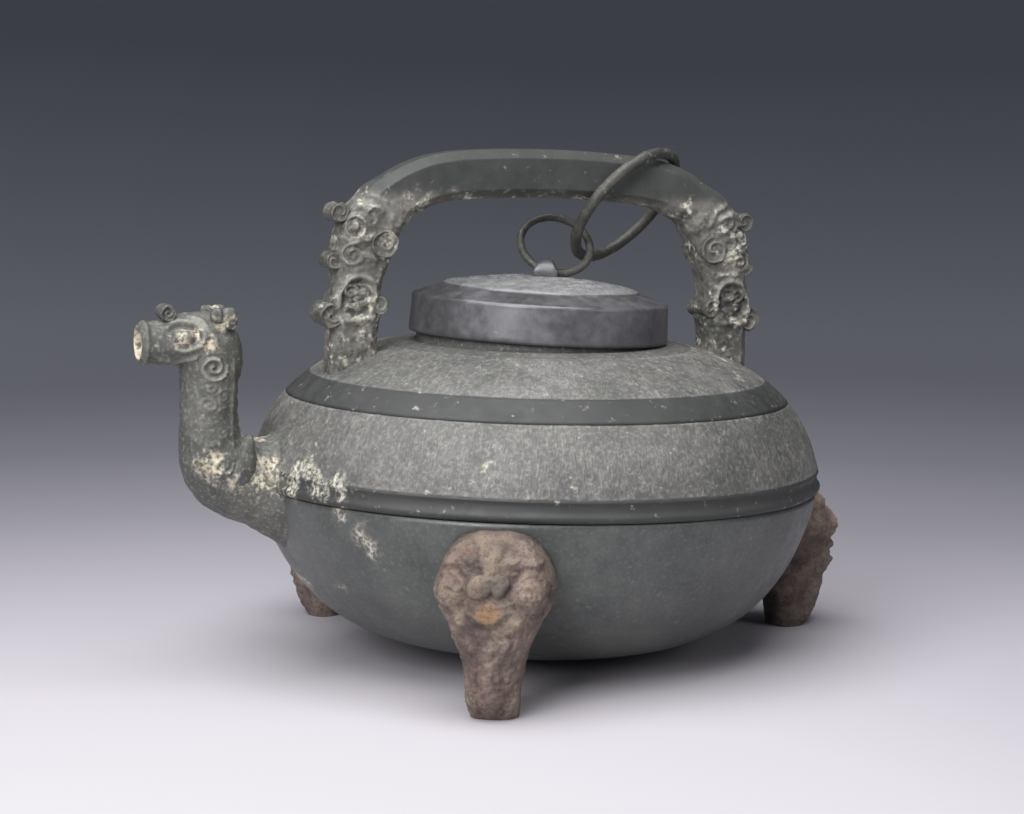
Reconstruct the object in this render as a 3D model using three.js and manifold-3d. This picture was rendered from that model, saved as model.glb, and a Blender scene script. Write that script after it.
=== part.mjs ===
// A bronze he, a squat wine vessel of the Eastern Zhou: a hollow round body on three cast iron feet,
// an animal-headed spout, an arched handle with an animal head at each end, and a lid that lifts off,
// whose ring is linked to a larger ring on the handle. Millimetres, +Z up. The spout points to -X.

import * as THREE from 'three';
import { mergeVertices } from 'three/addons/utils/BufferGeometryUtils.js';
import Module from 'manifold-3d';

const wasm = await Module();
wasm.setup();

// Clearance between two pieces that touch in the real vessel
const GAP = 0.3;

// How the vessel sits on its feet today: it leans a little toward the rear foot
const LEAN = THREE.MathUtils.degToRad( 2.06 );
const VESSEL_SHIFT = - 2.4;

// Body: a shallow bowl, a lip that overhangs it at the widest place, a shoulder and an upright neck
const WALL = 3;
const SEAM_RADIUS = 120;
const SEAM_HEIGHT = 75.2;
const LIP_OVERHANG = 1.5;
const LIP_THICKNESS = 3.2;
const LIP_BAND = 6.4;
const BOWL_UNDERSIDE = 4.9;
const BOWL_SET_BACK = 2.4;
const BOWL_SIDE_ROUNDING = 4.4;
const BOWL_BASE_ROUNDING = 1.32;
const SHOULDER_INSET_LOW = 1.4;
const SHOULDER_INSET_MIDDLE = 7.3;
const SHOULDER_INSET_HIGH = 22.5;
const SHOULDER_MIDDLE_HEIGHT = 106;
const SHOULDER_HIGH_HEIGHT = 124.1;
const NECK_BASE_HEIGHT = 131;
const NECK_LEDGE = 6.9;
const NECK_RADIUS = 51.1;
const NECK_WALL = 3.2;
const NECK_RISE = 13;
const NECK_TOP = NECK_BASE_HEIGHT + NECK_RISE;

// The smooth band round the shoulder, between the two patterned registers, as heights on the shoulder
const BAND_FOOT = 108.8;
const BAND_HEAD = 117.3;
const BAND_RELIEF = 0.5;
const REGISTER_LINE = 1.2;

// Lid: a cap over the neck with a raised round field on top and a pierced knob
const LID_CLEARANCE = 0.95;
const LID_WALL = 2.4;
const LID_LIFT = 2.3;
const LID_SKIRT_FOOT = NECK_BASE_HEIGHT + LID_LIFT;
const LID_SKIRT_HEIGHT = 16.3;
const LID_SKIRT_TAPER = 0.7;
const LID_BORDER_RISE = 3.4;
const LID_FIELD_RADIUS = 41;
const LID_FIELD_STEP = 1.1;
const LID_DOME = 4.2;
const LID_TILT = THREE.MathUtils.degToRad( 2.1 );
const KNOB_PLACE = 1.8;
const KNOB_LENGTH = 10.4;
const KNOB_TOP_LENGTH = 5.4;
const KNOB_RIM = 2;
const KNOB_HOLE_RADIUS = 2.8;
const KNOB_HOLE_DIP = 0.3;

// The small ring through the knob, and the way it stands up from it
const LID_RING_RADIUS = 15;
const LID_RING_WIRE = 1.75;
const LID_RING_NORMAL = new THREE.Vector3( - 0.116, - 0.74, 0.663 ).normalize();
const LID_RING_RISE = new THREE.Vector3( 0.496, 0.536, 0.684 ).normalize();

// The large ring that hangs on the handle and passes through the small one
const HANDLE_RING_RADIUS = 28.3;
const HANDLE_RING_WIRE = 2.5;
const HANDLE_RING_ROLL = THREE.MathUtils.degToRad( 41 );
const HANDLE_RING_PLAY = [ 0, - 2, 2, - 4, 4 ].map( THREE.MathUtils.degToRad );
const HANDLE_RING_STEEPEST = THREE.MathUtils.degToRad( 62 );
const LINK_PLAY = 1.4;

// Handle: an eight-sided bar on an arch, and below each end of it an animal head with a leg in its mouth
const HANDLE_RISE = 80.3;
const HANDLE_CROWN = NECK_BASE_HEIGHT + HANDLE_RISE;
const HANDLE_SPAN = 168;
const HANDLE_TILT = THREE.MathUtils.degToRad( 0.9 );
const HANDLE_SHIFT = 1.4;
const BAR_HEIGHT = 20;
const BAR_WIDTH = 16;
const BAR_CHAMFER = 3.6;
const LEG_LENGTH = 20;
const LEG_WIDTH = 17;
const LEG_ROOT_RISE = 9.3;
const LEG_ROOT = SHOULDER_MIDDLE_HEIGHT + LEG_ROOT_RISE;
const HEAD_RISE = 6;
const HEAD_LENGTH = 49;
const HEAD_FOOT = NECK_BASE_HEIGHT + HEAD_RISE;
const HEAD_TOP = HEAD_FOOT + HEAD_LENGTH;
const HEAD_DEPTH = 25;
const HEAD_WIDTH = 21;

// Spout: an upright neck with a bore through it, an animal head for its mouth, and a swollen root
const SPOUT_BORE_RADIUS = 6.5;
const SPOUT_NECK_RADIUS = 11.3;
const SPOUT_NECK_REACH = 22;
const SPOUT_MOUTH_REACH = 51.5;
const SPOUT_MOUTH_HEIGHT = 132.3;
const SPOUT_ROOT_HEIGHT = 77;
const SPOUT_ELBOW_RADIUS = 12;

// Feet: an animal mask on a tapering leg, three of them, set out round the middle of the vessel
const FOOT_COUNT = 3;
const FOOT_WIDTH = 45.4;
const FOOT_DROP = 6;

// How finely the round surfaces are cut into flat faces
const BODY_SIDES = 40;
const LID_SIDES = 28;
const BAR_STEPS = 13;
const HEAD_STEPS = 9;
const CURL_SIDES = 7;
const FOOT_FRONT_SIDES = 12;
const FOOT_BACK_SIDES = 3;
const FOOT_ROWS = 17;
const SPOUT_SIDES = 12;
const BORE_SIDES = 10;
const LID_RING_STEPS = 20;
const HANDLE_RING_STEPS = 26;
const RING_WIRE_SIDES = 6;

const bronze = new THREE.MeshStandardMaterial( { color: 0x5f625b, roughness: 0.55, metalness: 0.7 } );
const darkBronze = new THREE.MeshStandardMaterial( { color: 0x4a4c49, roughness: 0.5, metalness: 0.75 } );
const paleBronze = new THREE.MeshStandardMaterial( { color: 0x6f716a, roughness: 0.6, metalness: 0.6 } );
const rustedIron = new THREE.MeshStandardMaterial( { color: 0x6a554b, roughness: 0.9, metalness: 0.1 } );

// Closed mesh from an array of rings of points: sides between the rings, and a flat fan over each end,
// or, when it is looped, the last ring joined to the first
function ringsToGeometry( rings, looped = false ) {

	const sides = rings[ 0 ].length;
	const points = rings.flat();
	const index = [];
	const lastRow = looped ? rings.length : rings.length - 1;
	for ( let row = 0; row < lastRow; row ++ ) {

		const here = row * sides;
		const next = ( ( row + 1 ) % rings.length ) * sides;
		for ( let side = 0; side < sides; side ++ ) {

			const beside = ( side + 1 ) % sides;
			index.push( here + side, here + beside, next + side );
			index.push( here + beside, next + beside, next + side );

		}

	}

	if ( ! looped ) {

		for ( const [ start, forward ] of [ [ 0, false ], [ ( rings.length - 1 ) * sides, true ] ] ) {

			const middle = new THREE.Vector3();
			for ( let side = 0; side < sides; side ++ ) middle.addScaledVector( points[ start + side ], 1 / sides );
			const hub = points.length;
			points.push( middle );
			for ( let side = 0; side < sides; side ++ ) {

				const beside = ( side + 1 ) % sides;
				if ( forward ) index.push( start + side, start + beside, hub );
				else index.push( start + beside, start + side, hub );

			}

		}

	}

	const geometry = new THREE.BufferGeometry().setFromPoints( points );
	geometry.setIndex( signedVolume( points, index ) < 0 ? index.reverse() : index );
	return geometry;

}

function signedVolume( points, index ) {

	let sum = 0;
	for ( let i = 0; i < index.length; i += 3 ) {

		const [ a, b, c ] = [ points[ index[ i ] ], points[ index[ i + 1 ] ], points[ index[ i + 2 ] ] ];
		sum += a.dot( new THREE.Vector3().crossVectors( b, c ) );

	}

	return sum / 6;

}

// Solid for joining and cutting, from any closed geometry
function solidOf( geometry ) {

	const bare = new THREE.BufferGeometry();
	bare.setAttribute( 'position', geometry.getAttribute( 'position' ) );
	if ( geometry.index ) bare.setIndex( geometry.index );
	const merged = mergeVertices( bare, 1e-4 );
	return new wasm.Manifold( new wasm.Mesh( {
		numProp: 3,
		vertProperties: new Float32Array( merged.attributes.position.array ),
		triVerts: new Uint32Array( merged.index.array ),
	} ) );

}

function meshOf( name, solid, material ) {

	const { numProp, vertProperties, triVerts } = solid.getMesh();
	const places = [];
	for ( let i = 0; i < vertProperties.length; i += numProp ) {

		places.push( vertProperties[ i ], vertProperties[ i + 1 ], vertProperties[ i + 2 ] );

	}

	const geometry = new THREE.BufferGeometry();
	geometry.setAttribute( 'position', new THREE.Float32BufferAttribute( places, 3 ) );
	geometry.setIndex( Array.from( triVerts ) );
	geometry.computeVertexNormals();
	const mesh = new THREE.Mesh( geometry, material );
	mesh.name = name;
	return mesh;

}

function unionOf( solids ) {

	return solids.reduce( ( whole, next ) => whole.add( next ) );

}

// A profile of radius and height turned round the Z axis, then moved point by point if asked
function turned( profile, sides, move = ( point ) => point ) {

	const geometry = new THREE.LatheGeometry( profile, sides );
	geometry.rotateX( Math.PI / 2 );
	const place = geometry.getAttribute( 'position' );
	const point = new THREE.Vector3();
	for ( let i = 0; i < place.count; i ++ ) {

		move( point.fromBufferAttribute( place, i ) );
		place.setXYZ( i, point.x, point.y, point.z );

	}

	return facedOut( geometry );

}

// The same geometry with its faces pointing out
function facedOut( geometry ) {

	const merged = geometry.clone();
	merged.deleteAttribute( 'normal' );
	merged.deleteAttribute( 'uv' );
	const whole = mergeVertices( merged, 1e-4 );
	const place = whole.getAttribute( 'position' );
	const pointAt = ( _, i ) => new THREE.Vector3().fromBufferAttribute( place, i );
	const points = Array.from( { length: place.count }, pointAt );
	const index = Array.from( whole.index.array );
	whole.setIndex( signedVolume( points, index ) < 0 ? index.reverse() : index );
	return whole;

}

// A profile moved sideways by a distance, outward when it is positive; its ends keep to the axis
function offsetProfile( profile, distance ) {

	return profile.map( ( point, i ) => {

		const before = profile[ Math.max( i - 1, 0 ) ];
		const after = profile[ Math.min( i + 1, profile.length - 1 ) ];
		const along = after.clone().sub( before ).normalize();
		const moved = new THREE.Vector2( point.x + along.y * distance, point.y - along.x * distance );
		if ( point.x === 0 ) moved.set( 0, point.y - Math.sign( along.x ) * distance );
		return moved;

	} );

}

// A closed section of the superellipse kind: a power of 2 is an ellipse, a higher one is squarer
function squaredCircle( turn, power ) {

	const c = Math.cos( turn );
	const s = Math.sin( turn );
	return [ Math.sign( c ) * Math.abs( c ) ** ( 2 / power ), Math.sign( s ) * Math.abs( s ) ** ( 2 / power ) ];

}

// Value at a place along stations of [ place, value, value... ], eased between neighbours
function alongStations( stations, place, column ) {

	const last = stations.length - 1;
	if ( place <= stations[ 0 ][ 0 ] ) return stations[ 0 ][ column ];
	if ( place >= stations[ last ][ 0 ] ) return stations[ last ][ column ];
	const next = stations.findIndex( ( station ) => station[ 0 ] > place );
	const here = next - 1;
	const share = ( place - stations[ here ][ 0 ] ) / ( stations[ next ][ 0 ] - stations[ here ][ 0 ] );
	const slopeAt = ( i ) => {

		const low = stations[ Math.max( i - 1, 0 ) ];
		const high = stations[ Math.min( i + 1, last ) ];
		return ( high[ column ] - low[ column ] ) / ( high[ 0 ] - low[ 0 ] );

	};

	const run = stations[ next ][ 0 ] - stations[ here ][ 0 ];
	const square = share * share;
	const cube = square * share;
	const fromHere = ( 2 * cube - 3 * square + 1 ) * stations[ here ][ column ];
	const fromNext = ( 3 * square - 2 * cube ) * stations[ next ][ column ];
	const leaving = ( cube - 2 * square + share ) * run * slopeAt( here );
	const arriving = ( cube - square ) * run * slopeAt( next );
	return fromHere + fromNext + leaving + arriving;

}

// Small rounded form, such as an eye or an ear, with its own three half sizes
function pebble( centre, halfSizes, sides = 6 ) {

	const geometry = new THREE.SphereGeometry( 1, sides, Math.ceil( sides * 0.6 ) );
	geometry.scale( ...halfSizes );
	geometry.translate( ...centre );
	return solidOf( facedOut( geometry ) );

}

// A rolled curl, such as a lip or a jaw: a short drum across the head, with a dished end on each side
function curl( x, z, radius, halfWidth, dish ) {

	const profile = [
		new THREE.Vector2( 0, - halfWidth + dish ),
		new THREE.Vector2( radius * 0.7, - halfWidth ),
		new THREE.Vector2( radius, - halfWidth + dish ),
		new THREE.Vector2( radius, halfWidth - dish ),
		new THREE.Vector2( radius * 0.7, halfWidth ),
		new THREE.Vector2( 0, halfWidth - dish ),
	];
	const geometry = new THREE.LatheGeometry( profile, CURL_SIDES );
	geometry.translate( x, 0, z );
	return solidOf( facedOut( geometry ) );

}

// Curve of the shoulder from the lip band up to the foot of the neck
const shoulder = new THREE.CubicBezierCurve(
	new THREE.Vector2( SEAM_RADIUS - SHOULDER_INSET_LOW, SEAM_HEIGHT + LIP_BAND ),
	new THREE.Vector2( SEAM_RADIUS - SHOULDER_INSET_MIDDLE, SHOULDER_MIDDLE_HEIGHT ),
	new THREE.Vector2( SEAM_RADIUS - SHOULDER_INSET_HIGH, SHOULDER_HIGH_HEIGHT ),
	new THREE.Vector2( NECK_RADIUS + NECK_LEDGE, NECK_BASE_HEIGHT ) );

// Share of the shoulder's curve at which it reaches a height
function shoulderShare( height ) {

	let low = 0;
	let high = 1;
	for ( let step = 0; step < 30; step ++ ) {

		const middle = ( low + high ) / 2;
		if ( shoulder.getPoint( middle ).y < height ) low = middle;
		else high = middle;

	}

	return low;

}

// Bowl from the middle of its underside up to just below the lip
function bowlProfile( steps ) {

	const radius = SEAM_RADIUS - LIP_OVERHANG;
	const top = SEAM_HEIGHT - LIP_THICKNESS;
	const points = [];
	for ( let step = 0; step <= steps; step ++ ) {

		const turn = Math.PI / 2 * ( 1 - step / steps );
		const out = step === 0 ? 0 : Math.cos( turn ) ** ( 2 / BOWL_SIDE_ROUNDING );
		const down = Math.sin( turn ) ** ( 2 / BOWL_BASE_ROUNDING );
		points.push( new THREE.Vector2( radius * out, top - ( top - BOWL_UNDERSIDE ) * down ) );

	}

	return points;

}

// Outer face of the body without its neck, from the middle of the underside to the foot of the neck.
// The smooth bands stand a little proud of the patterned registers beside them.
function outerProfile() {

	const points = bowlProfile( 7 );
	points.push( new THREE.Vector2( SEAM_RADIUS, SEAM_HEIGHT - LIP_THICKNESS * 0.6 ) );
	points.push( new THREE.Vector2( SEAM_RADIUS, SEAM_HEIGHT ) );
	const bandFoot = shoulderShare( BAND_FOOT );
	const bandHead = shoulderShare( BAND_HEAD );
	const at = ( share, out = 0, up = 0 ) => shoulder.getPoint( share ).add( new THREE.Vector2( out, up ) );
	points.push( at( 0, BAND_RELIEF, - REGISTER_LINE ), at( 0 ), at( bandFoot * 0.34 ), at( bandFoot * 0.68 ) );
	points.push( at( bandFoot ), at( bandFoot, BAND_RELIEF, BAND_RELIEF ) );
	points.push( at( bandHead, BAND_RELIEF ), at( bandHead ) );
	for ( const share of [ 0.35, 0.7, 1 ] ) points.push( at( THREE.MathUtils.lerp( bandHead, 1, share ) ) );
	return points;

}

// Inner face of the body, a wall's thickness inside the outer one, from the neck down to the bowl's middle
function innerProfile() {

	const points = bowlProfile( 4 );
	points.push( new THREE.Vector2( SEAM_RADIUS - LIP_OVERHANG, SEAM_HEIGHT ) );
	for ( const share of [ 0.3, 0.62, 1 ] ) points.push( shoulder.getPoint( share ) );
	const inside = offsetProfile( points, - WALL ).reverse();
	inside[ 0 ].x = NECK_RADIUS - NECK_WALL;
	return inside;

}

// The bowl hangs a little toward the rear foot, most at its lowest place
function setBack( point ) {

	const top = SEAM_HEIGHT - LIP_THICKNESS;
	if ( point.z < top ) point.x += BOWL_SET_BACK * ( 1 - point.z / top );
	return point;

}

// The filled outside of the vessel, swollen by a clearance: what stands against the body is cut by it
function bodyEnvelope( clearance ) {

	const side = offsetProfile( outerProfile(), clearance );
	const foot = side[ side.length - 1 ];
	const profile = [ ...side, new THREE.Vector2( 0, foot.y ) ];
	return solidOf( turned( profile, BODY_SIDES, setBack ) );

}

// Middle line of the spout's bore, from inside the body round the elbow and up to the mouth
function borePath( innerEnd, outerEnd ) {

	const neckX = - SEAM_RADIUS - SPOUT_NECK_REACH;
	const turnHeight = SPOUT_ROOT_HEIGHT + SPOUT_ELBOW_RADIUS;
	const path = new THREE.CurvePath();
	const at = ( x, z ) => new THREE.Vector3( x, 0, z );
	const bend = ( a, corner, b ) => path.add( new THREE.QuadraticBezierCurve3( a, corner, b ) );
	const straight = ( a, b ) => path.add( new THREE.LineCurve3( a, b ) );
	const rootTurn = at( neckX + SPOUT_ELBOW_RADIUS, SPOUT_ROOT_HEIGHT );
	straight( at( innerEnd, SPOUT_ROOT_HEIGHT ), rootTurn );
	bend( rootTurn, at( neckX, SPOUT_ROOT_HEIGHT ), at( neckX, turnHeight ) );
	const mouthTurn = SPOUT_MOUTH_HEIGHT - SPOUT_ELBOW_RADIUS;
	straight( at( neckX, turnHeight ), at( neckX, mouthTurn ) );
	const headTurn = at( neckX - SPOUT_ELBOW_RADIUS, SPOUT_MOUTH_HEIGHT );
	bend( at( neckX, mouthTurn ), at( neckX, SPOUT_MOUTH_HEIGHT ), headTurn );
	straight( headTurn, at( outerEnd, SPOUT_MOUTH_HEIGHT ) );
	return path;

}

// A round tube that follows a path in the XZ plane
function tubeAlong( path, radius, sides ) {

	const rings = [];
	for ( const [ piece, steps ] of path.curves.map( ( curve ) => [ curve, curve.isLineCurve3 ? 1 : 4 ] ) ) {

		for ( let step = rings.length ? 1 : 0; step <= steps; step ++ ) {

			const middle = piece.getPoint( step / steps );
			const along = piece.getTangent( step / steps );
			const across = new THREE.Vector3( - along.z, 0, along.x );
			rings.push( Array.from( { length: sides }, ( _, side ) => {

				const turn = ( side + 0.5 ) / sides * Math.PI * 2;
				return middle.clone().addScaledVector( across, radius * Math.cos( turn ) )
					.add( new THREE.Vector3( 0, radius * Math.sin( turn ), 0 ) );

			} ) );

		}

	}

	return solidOf( ringsToGeometry( rings ) );

}

function makeBody( bore ) {

	const outside = outerProfile();
	const ledge = outside[ outside.length - 1 ].y;
	const neck = [
		new THREE.Vector2( NECK_RADIUS, ledge ),
		new THREE.Vector2( NECK_RADIUS, NECK_TOP ),
		new THREE.Vector2( NECK_RADIUS - NECK_WALL, NECK_TOP ),
	];
	const shell = solidOf( turned( [ ...outside, ...neck, ...innerProfile() ], BODY_SIDES, setBack ) );
	return shell.subtract( bore );

}

// Solid through stations of [ x, lowest z, highest z, half width ], each a squared ellipse across X
function bluntLoft( stations, sides, power ) {

	const ringAt = ( [ x, low, high, halfWidth ] ) => Array.from( { length: sides }, ( _, side ) => {

		const [ across, up ] = squaredCircle( ( side + 0.5 ) / sides * Math.PI * 2, power );
		return new THREE.Vector3( x, across * halfWidth, ( low + high ) / 2 + up * ( high - low ) / 2 );

	} );
	return solidOf( ringsToGeometry( stations.map( ringAt ) ) );

}

function makeSpout( bore, envelope ) {

	const root = - SEAM_RADIUS;
	const neckX = root - SPOUT_NECK_REACH;
	const mouthX = root - SPOUT_MOUTH_REACH;
	const rootZ = SPOUT_ROOT_HEIGHT;
	const headZ = SPOUT_MOUTH_HEIGHT;
	const belly = bluntLoft( [
		[ neckX - 10.6, rootZ + 3, rootZ + 8, 3 ],
		[ neckX - 8, rootZ - 5.5, rootZ + 15, 8 ],
		[ neckX - 3, rootZ - 10.5, rootZ + 19, 11 ],
		[ neckX + 2, rootZ - 14, rootZ + 21, 12.6 ],
		[ neckX + 8, rootZ - 16, rootZ + 21, 13.6 ],
		[ root - 9, rootZ - 16.4, rootZ + 18.6, 14.2 ],
		[ root - 4.5, rootZ - 18, rootZ + 15.3, 15 ],
		[ root + 0.5, rootZ - 21.2, rootZ + 16.8, 17 ],
		[ root + 12, rootZ - 26, rootZ + 20, 20 ],
	], SPOUT_SIDES, 2.2 );
	const neckPath = new THREE.CurvePath();
	const neckFoot = new THREE.Vector3( neckX, 0, rootZ + 6 );
	neckPath.add( new THREE.LineCurve3( neckFoot, new THREE.Vector3( neckX, 0, headZ - 6 ) ) );
	const neck = tubeAlong( neckPath, SPOUT_NECK_RADIUS, SPOUT_SIDES );
	const head = bluntLoft( [
		[ neckX + 11, headZ - 3, headZ + 4, 5 ],
		[ neckX + 9, headZ - 11, headZ + 9.5, 9 ],
		[ neckX + 4, headZ - 15, headZ + 11, 11.4 ],
		[ neckX - 3, headZ - 15, headZ + 10, 12 ],
		[ neckX - 9, headZ - 12.8, headZ + 9, 11.4 ],
		[ neckX - 15, headZ - 10.9, headZ + 10, 10 ],
		[ mouthX + 8, headZ - 10, headZ + 10.4, 9.6 ],
		[ mouthX + 3, headZ - 9.2, headZ + 9.4, 9.4 ],
		[ mouthX, headZ - 8.2, headZ + 8.2, 8.6 ],
	], SPOUT_SIDES, 2.3 );
	const features = [ curl( mouthX + 11.4, headZ + 12, 3.2, 5, 1 ) ];
	for ( const side of [ - 1, 1 ] ) {

		features.push( pebble( [ neckX - 11, side * 9.2, headZ + 4 ], [ 5.5, 3.4, 4.4 ] ) );
		features.push( pebble( [ neckX + 5.5, side * 8.4, headZ + 10 ], [ 2.8, 2.4, 6 ] ) );
		features.push( pebble( [ neckX + 1, side * 9.2, headZ - 9 ], [ 6.4, 3.8, 6.2 ] ) );
		features.push( pebble( [ neckX - 1, side * 10.6, headZ + 2 ], [ 4.6, 2.6, 6.6 ] ) );

	}

	for ( const drop of [ 14, 21, 28 ] ) {

		features.push( pebble( [ neckX + SPOUT_NECK_RADIUS - 0.6, 0, headZ - drop ], [ 2.4, 2.6, 3 ], 6 ) );

	}

	return unionOf( [ belly, neck, head, ...features ] ).subtract( bore ).subtract( envelope );

}

// Middle line of the handle as stations of [ share of half the span, drop below the bar's middle ],
// from the crown of the arch out and down to the leg
const ARCH = [
	[ 0, 0 ], [ 0.17, 0.2 ], [ 0.34, 0.9 ], [ 0.5, 2 ], [ 0.62, 4 ], [ 0.735, 8 ], [ 0.83, 13.4 ], [ 0.9, 20 ],
	[ 0.95, 29 ], [ 0.98, 41 ], [ 0.995, 54 ], [ 1, 68 ],
	[ 1, HANDLE_CROWN - BAR_HEIGHT / 2 - LEG_ROOT ],
];

// Half depth and half width of the handle's section by the height of its middle above the foot of the
// head: the leg, the jaws that hold it, the snout, the brow and then the plain bar
const HANDLE_STATIONS = [
	[ - 12, LEG_LENGTH / 2, LEG_WIDTH / 2 ],
	[ 0, LEG_LENGTH / 2, LEG_WIDTH / 2 ],
	[ 3, HEAD_DEPTH * 0.44, HEAD_WIDTH * 0.45 ],
	[ 9, HEAD_DEPTH * 0.46, HEAD_WIDTH * 0.48 ],
	[ 16, HEAD_DEPTH * 0.4, HEAD_WIDTH * 0.44 ],
	[ 22, HEAD_DEPTH * 0.41, HEAD_WIDTH * 0.4 ],
	[ 30, HEAD_DEPTH * 0.48, HEAD_WIDTH * 0.43 ],
	[ 38, HEAD_DEPTH * 0.5, HEAD_WIDTH * 0.5 ],
	[ 46, HEAD_DEPTH * 0.46, HEAD_WIDTH * 0.48 ],
	[ 51, BAR_HEIGHT * 0.54, BAR_WIDTH * 0.58 ],
	[ 54, BAR_HEIGHT / 2, BAR_WIDTH / 2 ],
];

function handleSection( height ) {

	return [ 1, 2 ].map( ( column ) => alongStations( HANDLE_STATIONS, height - HEAD_FOOT, column ) );

}

function archPoint( share, side ) {

	const [ part, drop ] = share;
	return new THREE.Vector3( side * part * HANDLE_SPAN / 2, 0, HANDLE_CROWN - BAR_HEIGHT / 2 - drop );

}

// The eight-sided section of the bar: a rectangle with its corners cut off
function barSection( halfHeight, halfWidth, chamfer ) {

	return [
		[ halfHeight, halfWidth - chamfer ], [ halfHeight - chamfer, halfWidth ],
		[ - halfHeight + chamfer, halfWidth ], [ - halfHeight, halfWidth - chamfer ],
		[ - halfHeight, - halfWidth + chamfer ], [ - halfHeight + chamfer, - halfWidth ],
		[ halfHeight - chamfer, - halfWidth ], [ halfHeight, - halfWidth + chamfer ],
	];

}

// One curve through the arch from the left leg to the right one
function handleCurve() {

	const left = ARCH.slice( 1 ).reverse().map( ( share ) => archPoint( share, - 1 ) );
	const right = ARCH.map( ( share ) => archPoint( share, 1 ) );
	return new THREE.CatmullRomCurve3( [ ...left, ...right ], false, 'centripetal' );

}

// Places along the handle for its sections: close together over the two heads, wider along the bar
function handleShares( curve ) {

	const headShare = ( HEAD_TOP - LEG_ROOT ) / curve.getLength();
	const shares = [];
	for ( let step = 0; step < HEAD_STEPS; step ++ ) shares.push( step / HEAD_STEPS * headShare );
	const mirrored = shares.map( ( share ) => 1 - share ).reverse();
	for ( let step = 0; step <= BAR_STEPS; step ++ ) {

		shares.push( THREE.MathUtils.lerp( headShare, 1 - headShare, step / BAR_STEPS ) );

	}

	return [ ...shares, ...mirrored ];

}

// Raised forms of one animal head: rolled lips, nose, chin, jaw scroll and horn across it, and on each
// cheek an eye, a brow, an ear and the rolled edge of the open mouth
function headForms( end ) {

	const deep = HEAD_DEPTH / 2;
	const wide = HEAD_WIDTH / 2;
	const at = ( out ) => end * ( HANDLE_SPAN / 2 + out );
	const forms = [
		curl( at( deep - 1.7 ), HEAD_FOOT + 4.6, 4.9, wide - 4.8, 1.2 ),
		curl( at( - deep + 3.4 ), HEAD_FOOT + 9, 3.8, wide - 1.6, 1 ),
		curl( at( - deep + 1.8 ), HEAD_FOOT + 33.6, 5.2, wide + 0.4, 1.2 ),
		curl( at( deep - 2.6 ), HEAD_FOOT + 26.5, 3.4, wide - 5.4, 0.8 ),
		curl( at( deep - 4.2 ), HEAD_TOP - 2.8, 3.8, wide - 4.4, 1 ),
	];
	for ( const side of [ - 1, 1 ] ) {

		forms.push( pebble( [ at( 1.6 ), side * ( wide - 0.6 ), HEAD_FOOT + 37.5 ], [ 3.6, 2.4, 3.6 ] ) );
		forms.push( pebble( [ at( 2.6 ), side * ( wide - 1.6 ), HEAD_FOOT + 43.6 ], [ 6.4, 2.6, 2.4 ] ) );
		forms.push( pebble( [ at( - 7.4 ), side * ( wide - 2.4 ), HEAD_FOOT + 45.5 ], [ 3, 2.6, 5.4 ] ) );
		forms.push( pebble( [ at( 4.6 ), side * ( wide - 1.2 ), HEAD_FOOT + 13.4 ], [ 3.2, 2, 7.6 ] ) );
		forms.push( pebble( [ at( - 4.8 ), side * ( wide - 1.2 ), HEAD_FOOT + 9 ], [ 4.4, 2, 4.4 ] ) );

	}

	return forms;

}

function makeHandle( envelope, place ) {

	const curve = handleCurve();
	const rings = [];
	for ( const share of handleShares( curve ) ) {

		const middle = curve.getPointAt( share );
		const along = curve.getTangentAt( share );
		const out = new THREE.Vector3( - along.z, 0, along.x );
		const [ halfHeight, halfWidth ] = handleSection( middle.z );
		const chamfer = BAR_CHAMFER * Math.min( halfWidth / ( BAR_WIDTH / 2 ), 1.25 );
		rings.push( barSection( halfHeight, halfWidth, chamfer ).map( ( [ up, across ] ) =>
			middle.clone().addScaledVector( out, up ).add( new THREE.Vector3( 0, across, 0 ) ) ) );

	}

	const parts = [ solidOf( ringsToGeometry( rings ) ) ];
	for ( const end of [ - 1, 1 ] ) parts.push( ...headForms( end ) );
	return unionOf( parts ).transform( Array.from( place.elements ) ).subtract( envelope );

}

// Hole of the lid's knob in the lid's own frame, whose zero height is the foot of its skirt
function knobHole() {

	const crown = lidHeights().crown;
	return new THREE.Vector3( KNOB_PLACE, 0, crown + KNOB_HOLE_RADIUS - KNOB_HOLE_DIP );

}

function lidHeights() {

	const shoulderTop = LID_SKIRT_HEIGHT;
	const borderTop = shoulderTop + LID_BORDER_RISE;
	const fieldEdge = borderTop + LID_FIELD_STEP;
	return { shoulderTop, borderTop, fieldEdge, crown: fieldEdge + LID_DOME };

}

// Direction of the small ring's wire where it goes through the knob
function knobHoleAxis() {

	return new THREE.Vector3().crossVectors( LID_RING_NORMAL, LID_RING_RISE ).normalize();

}

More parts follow.
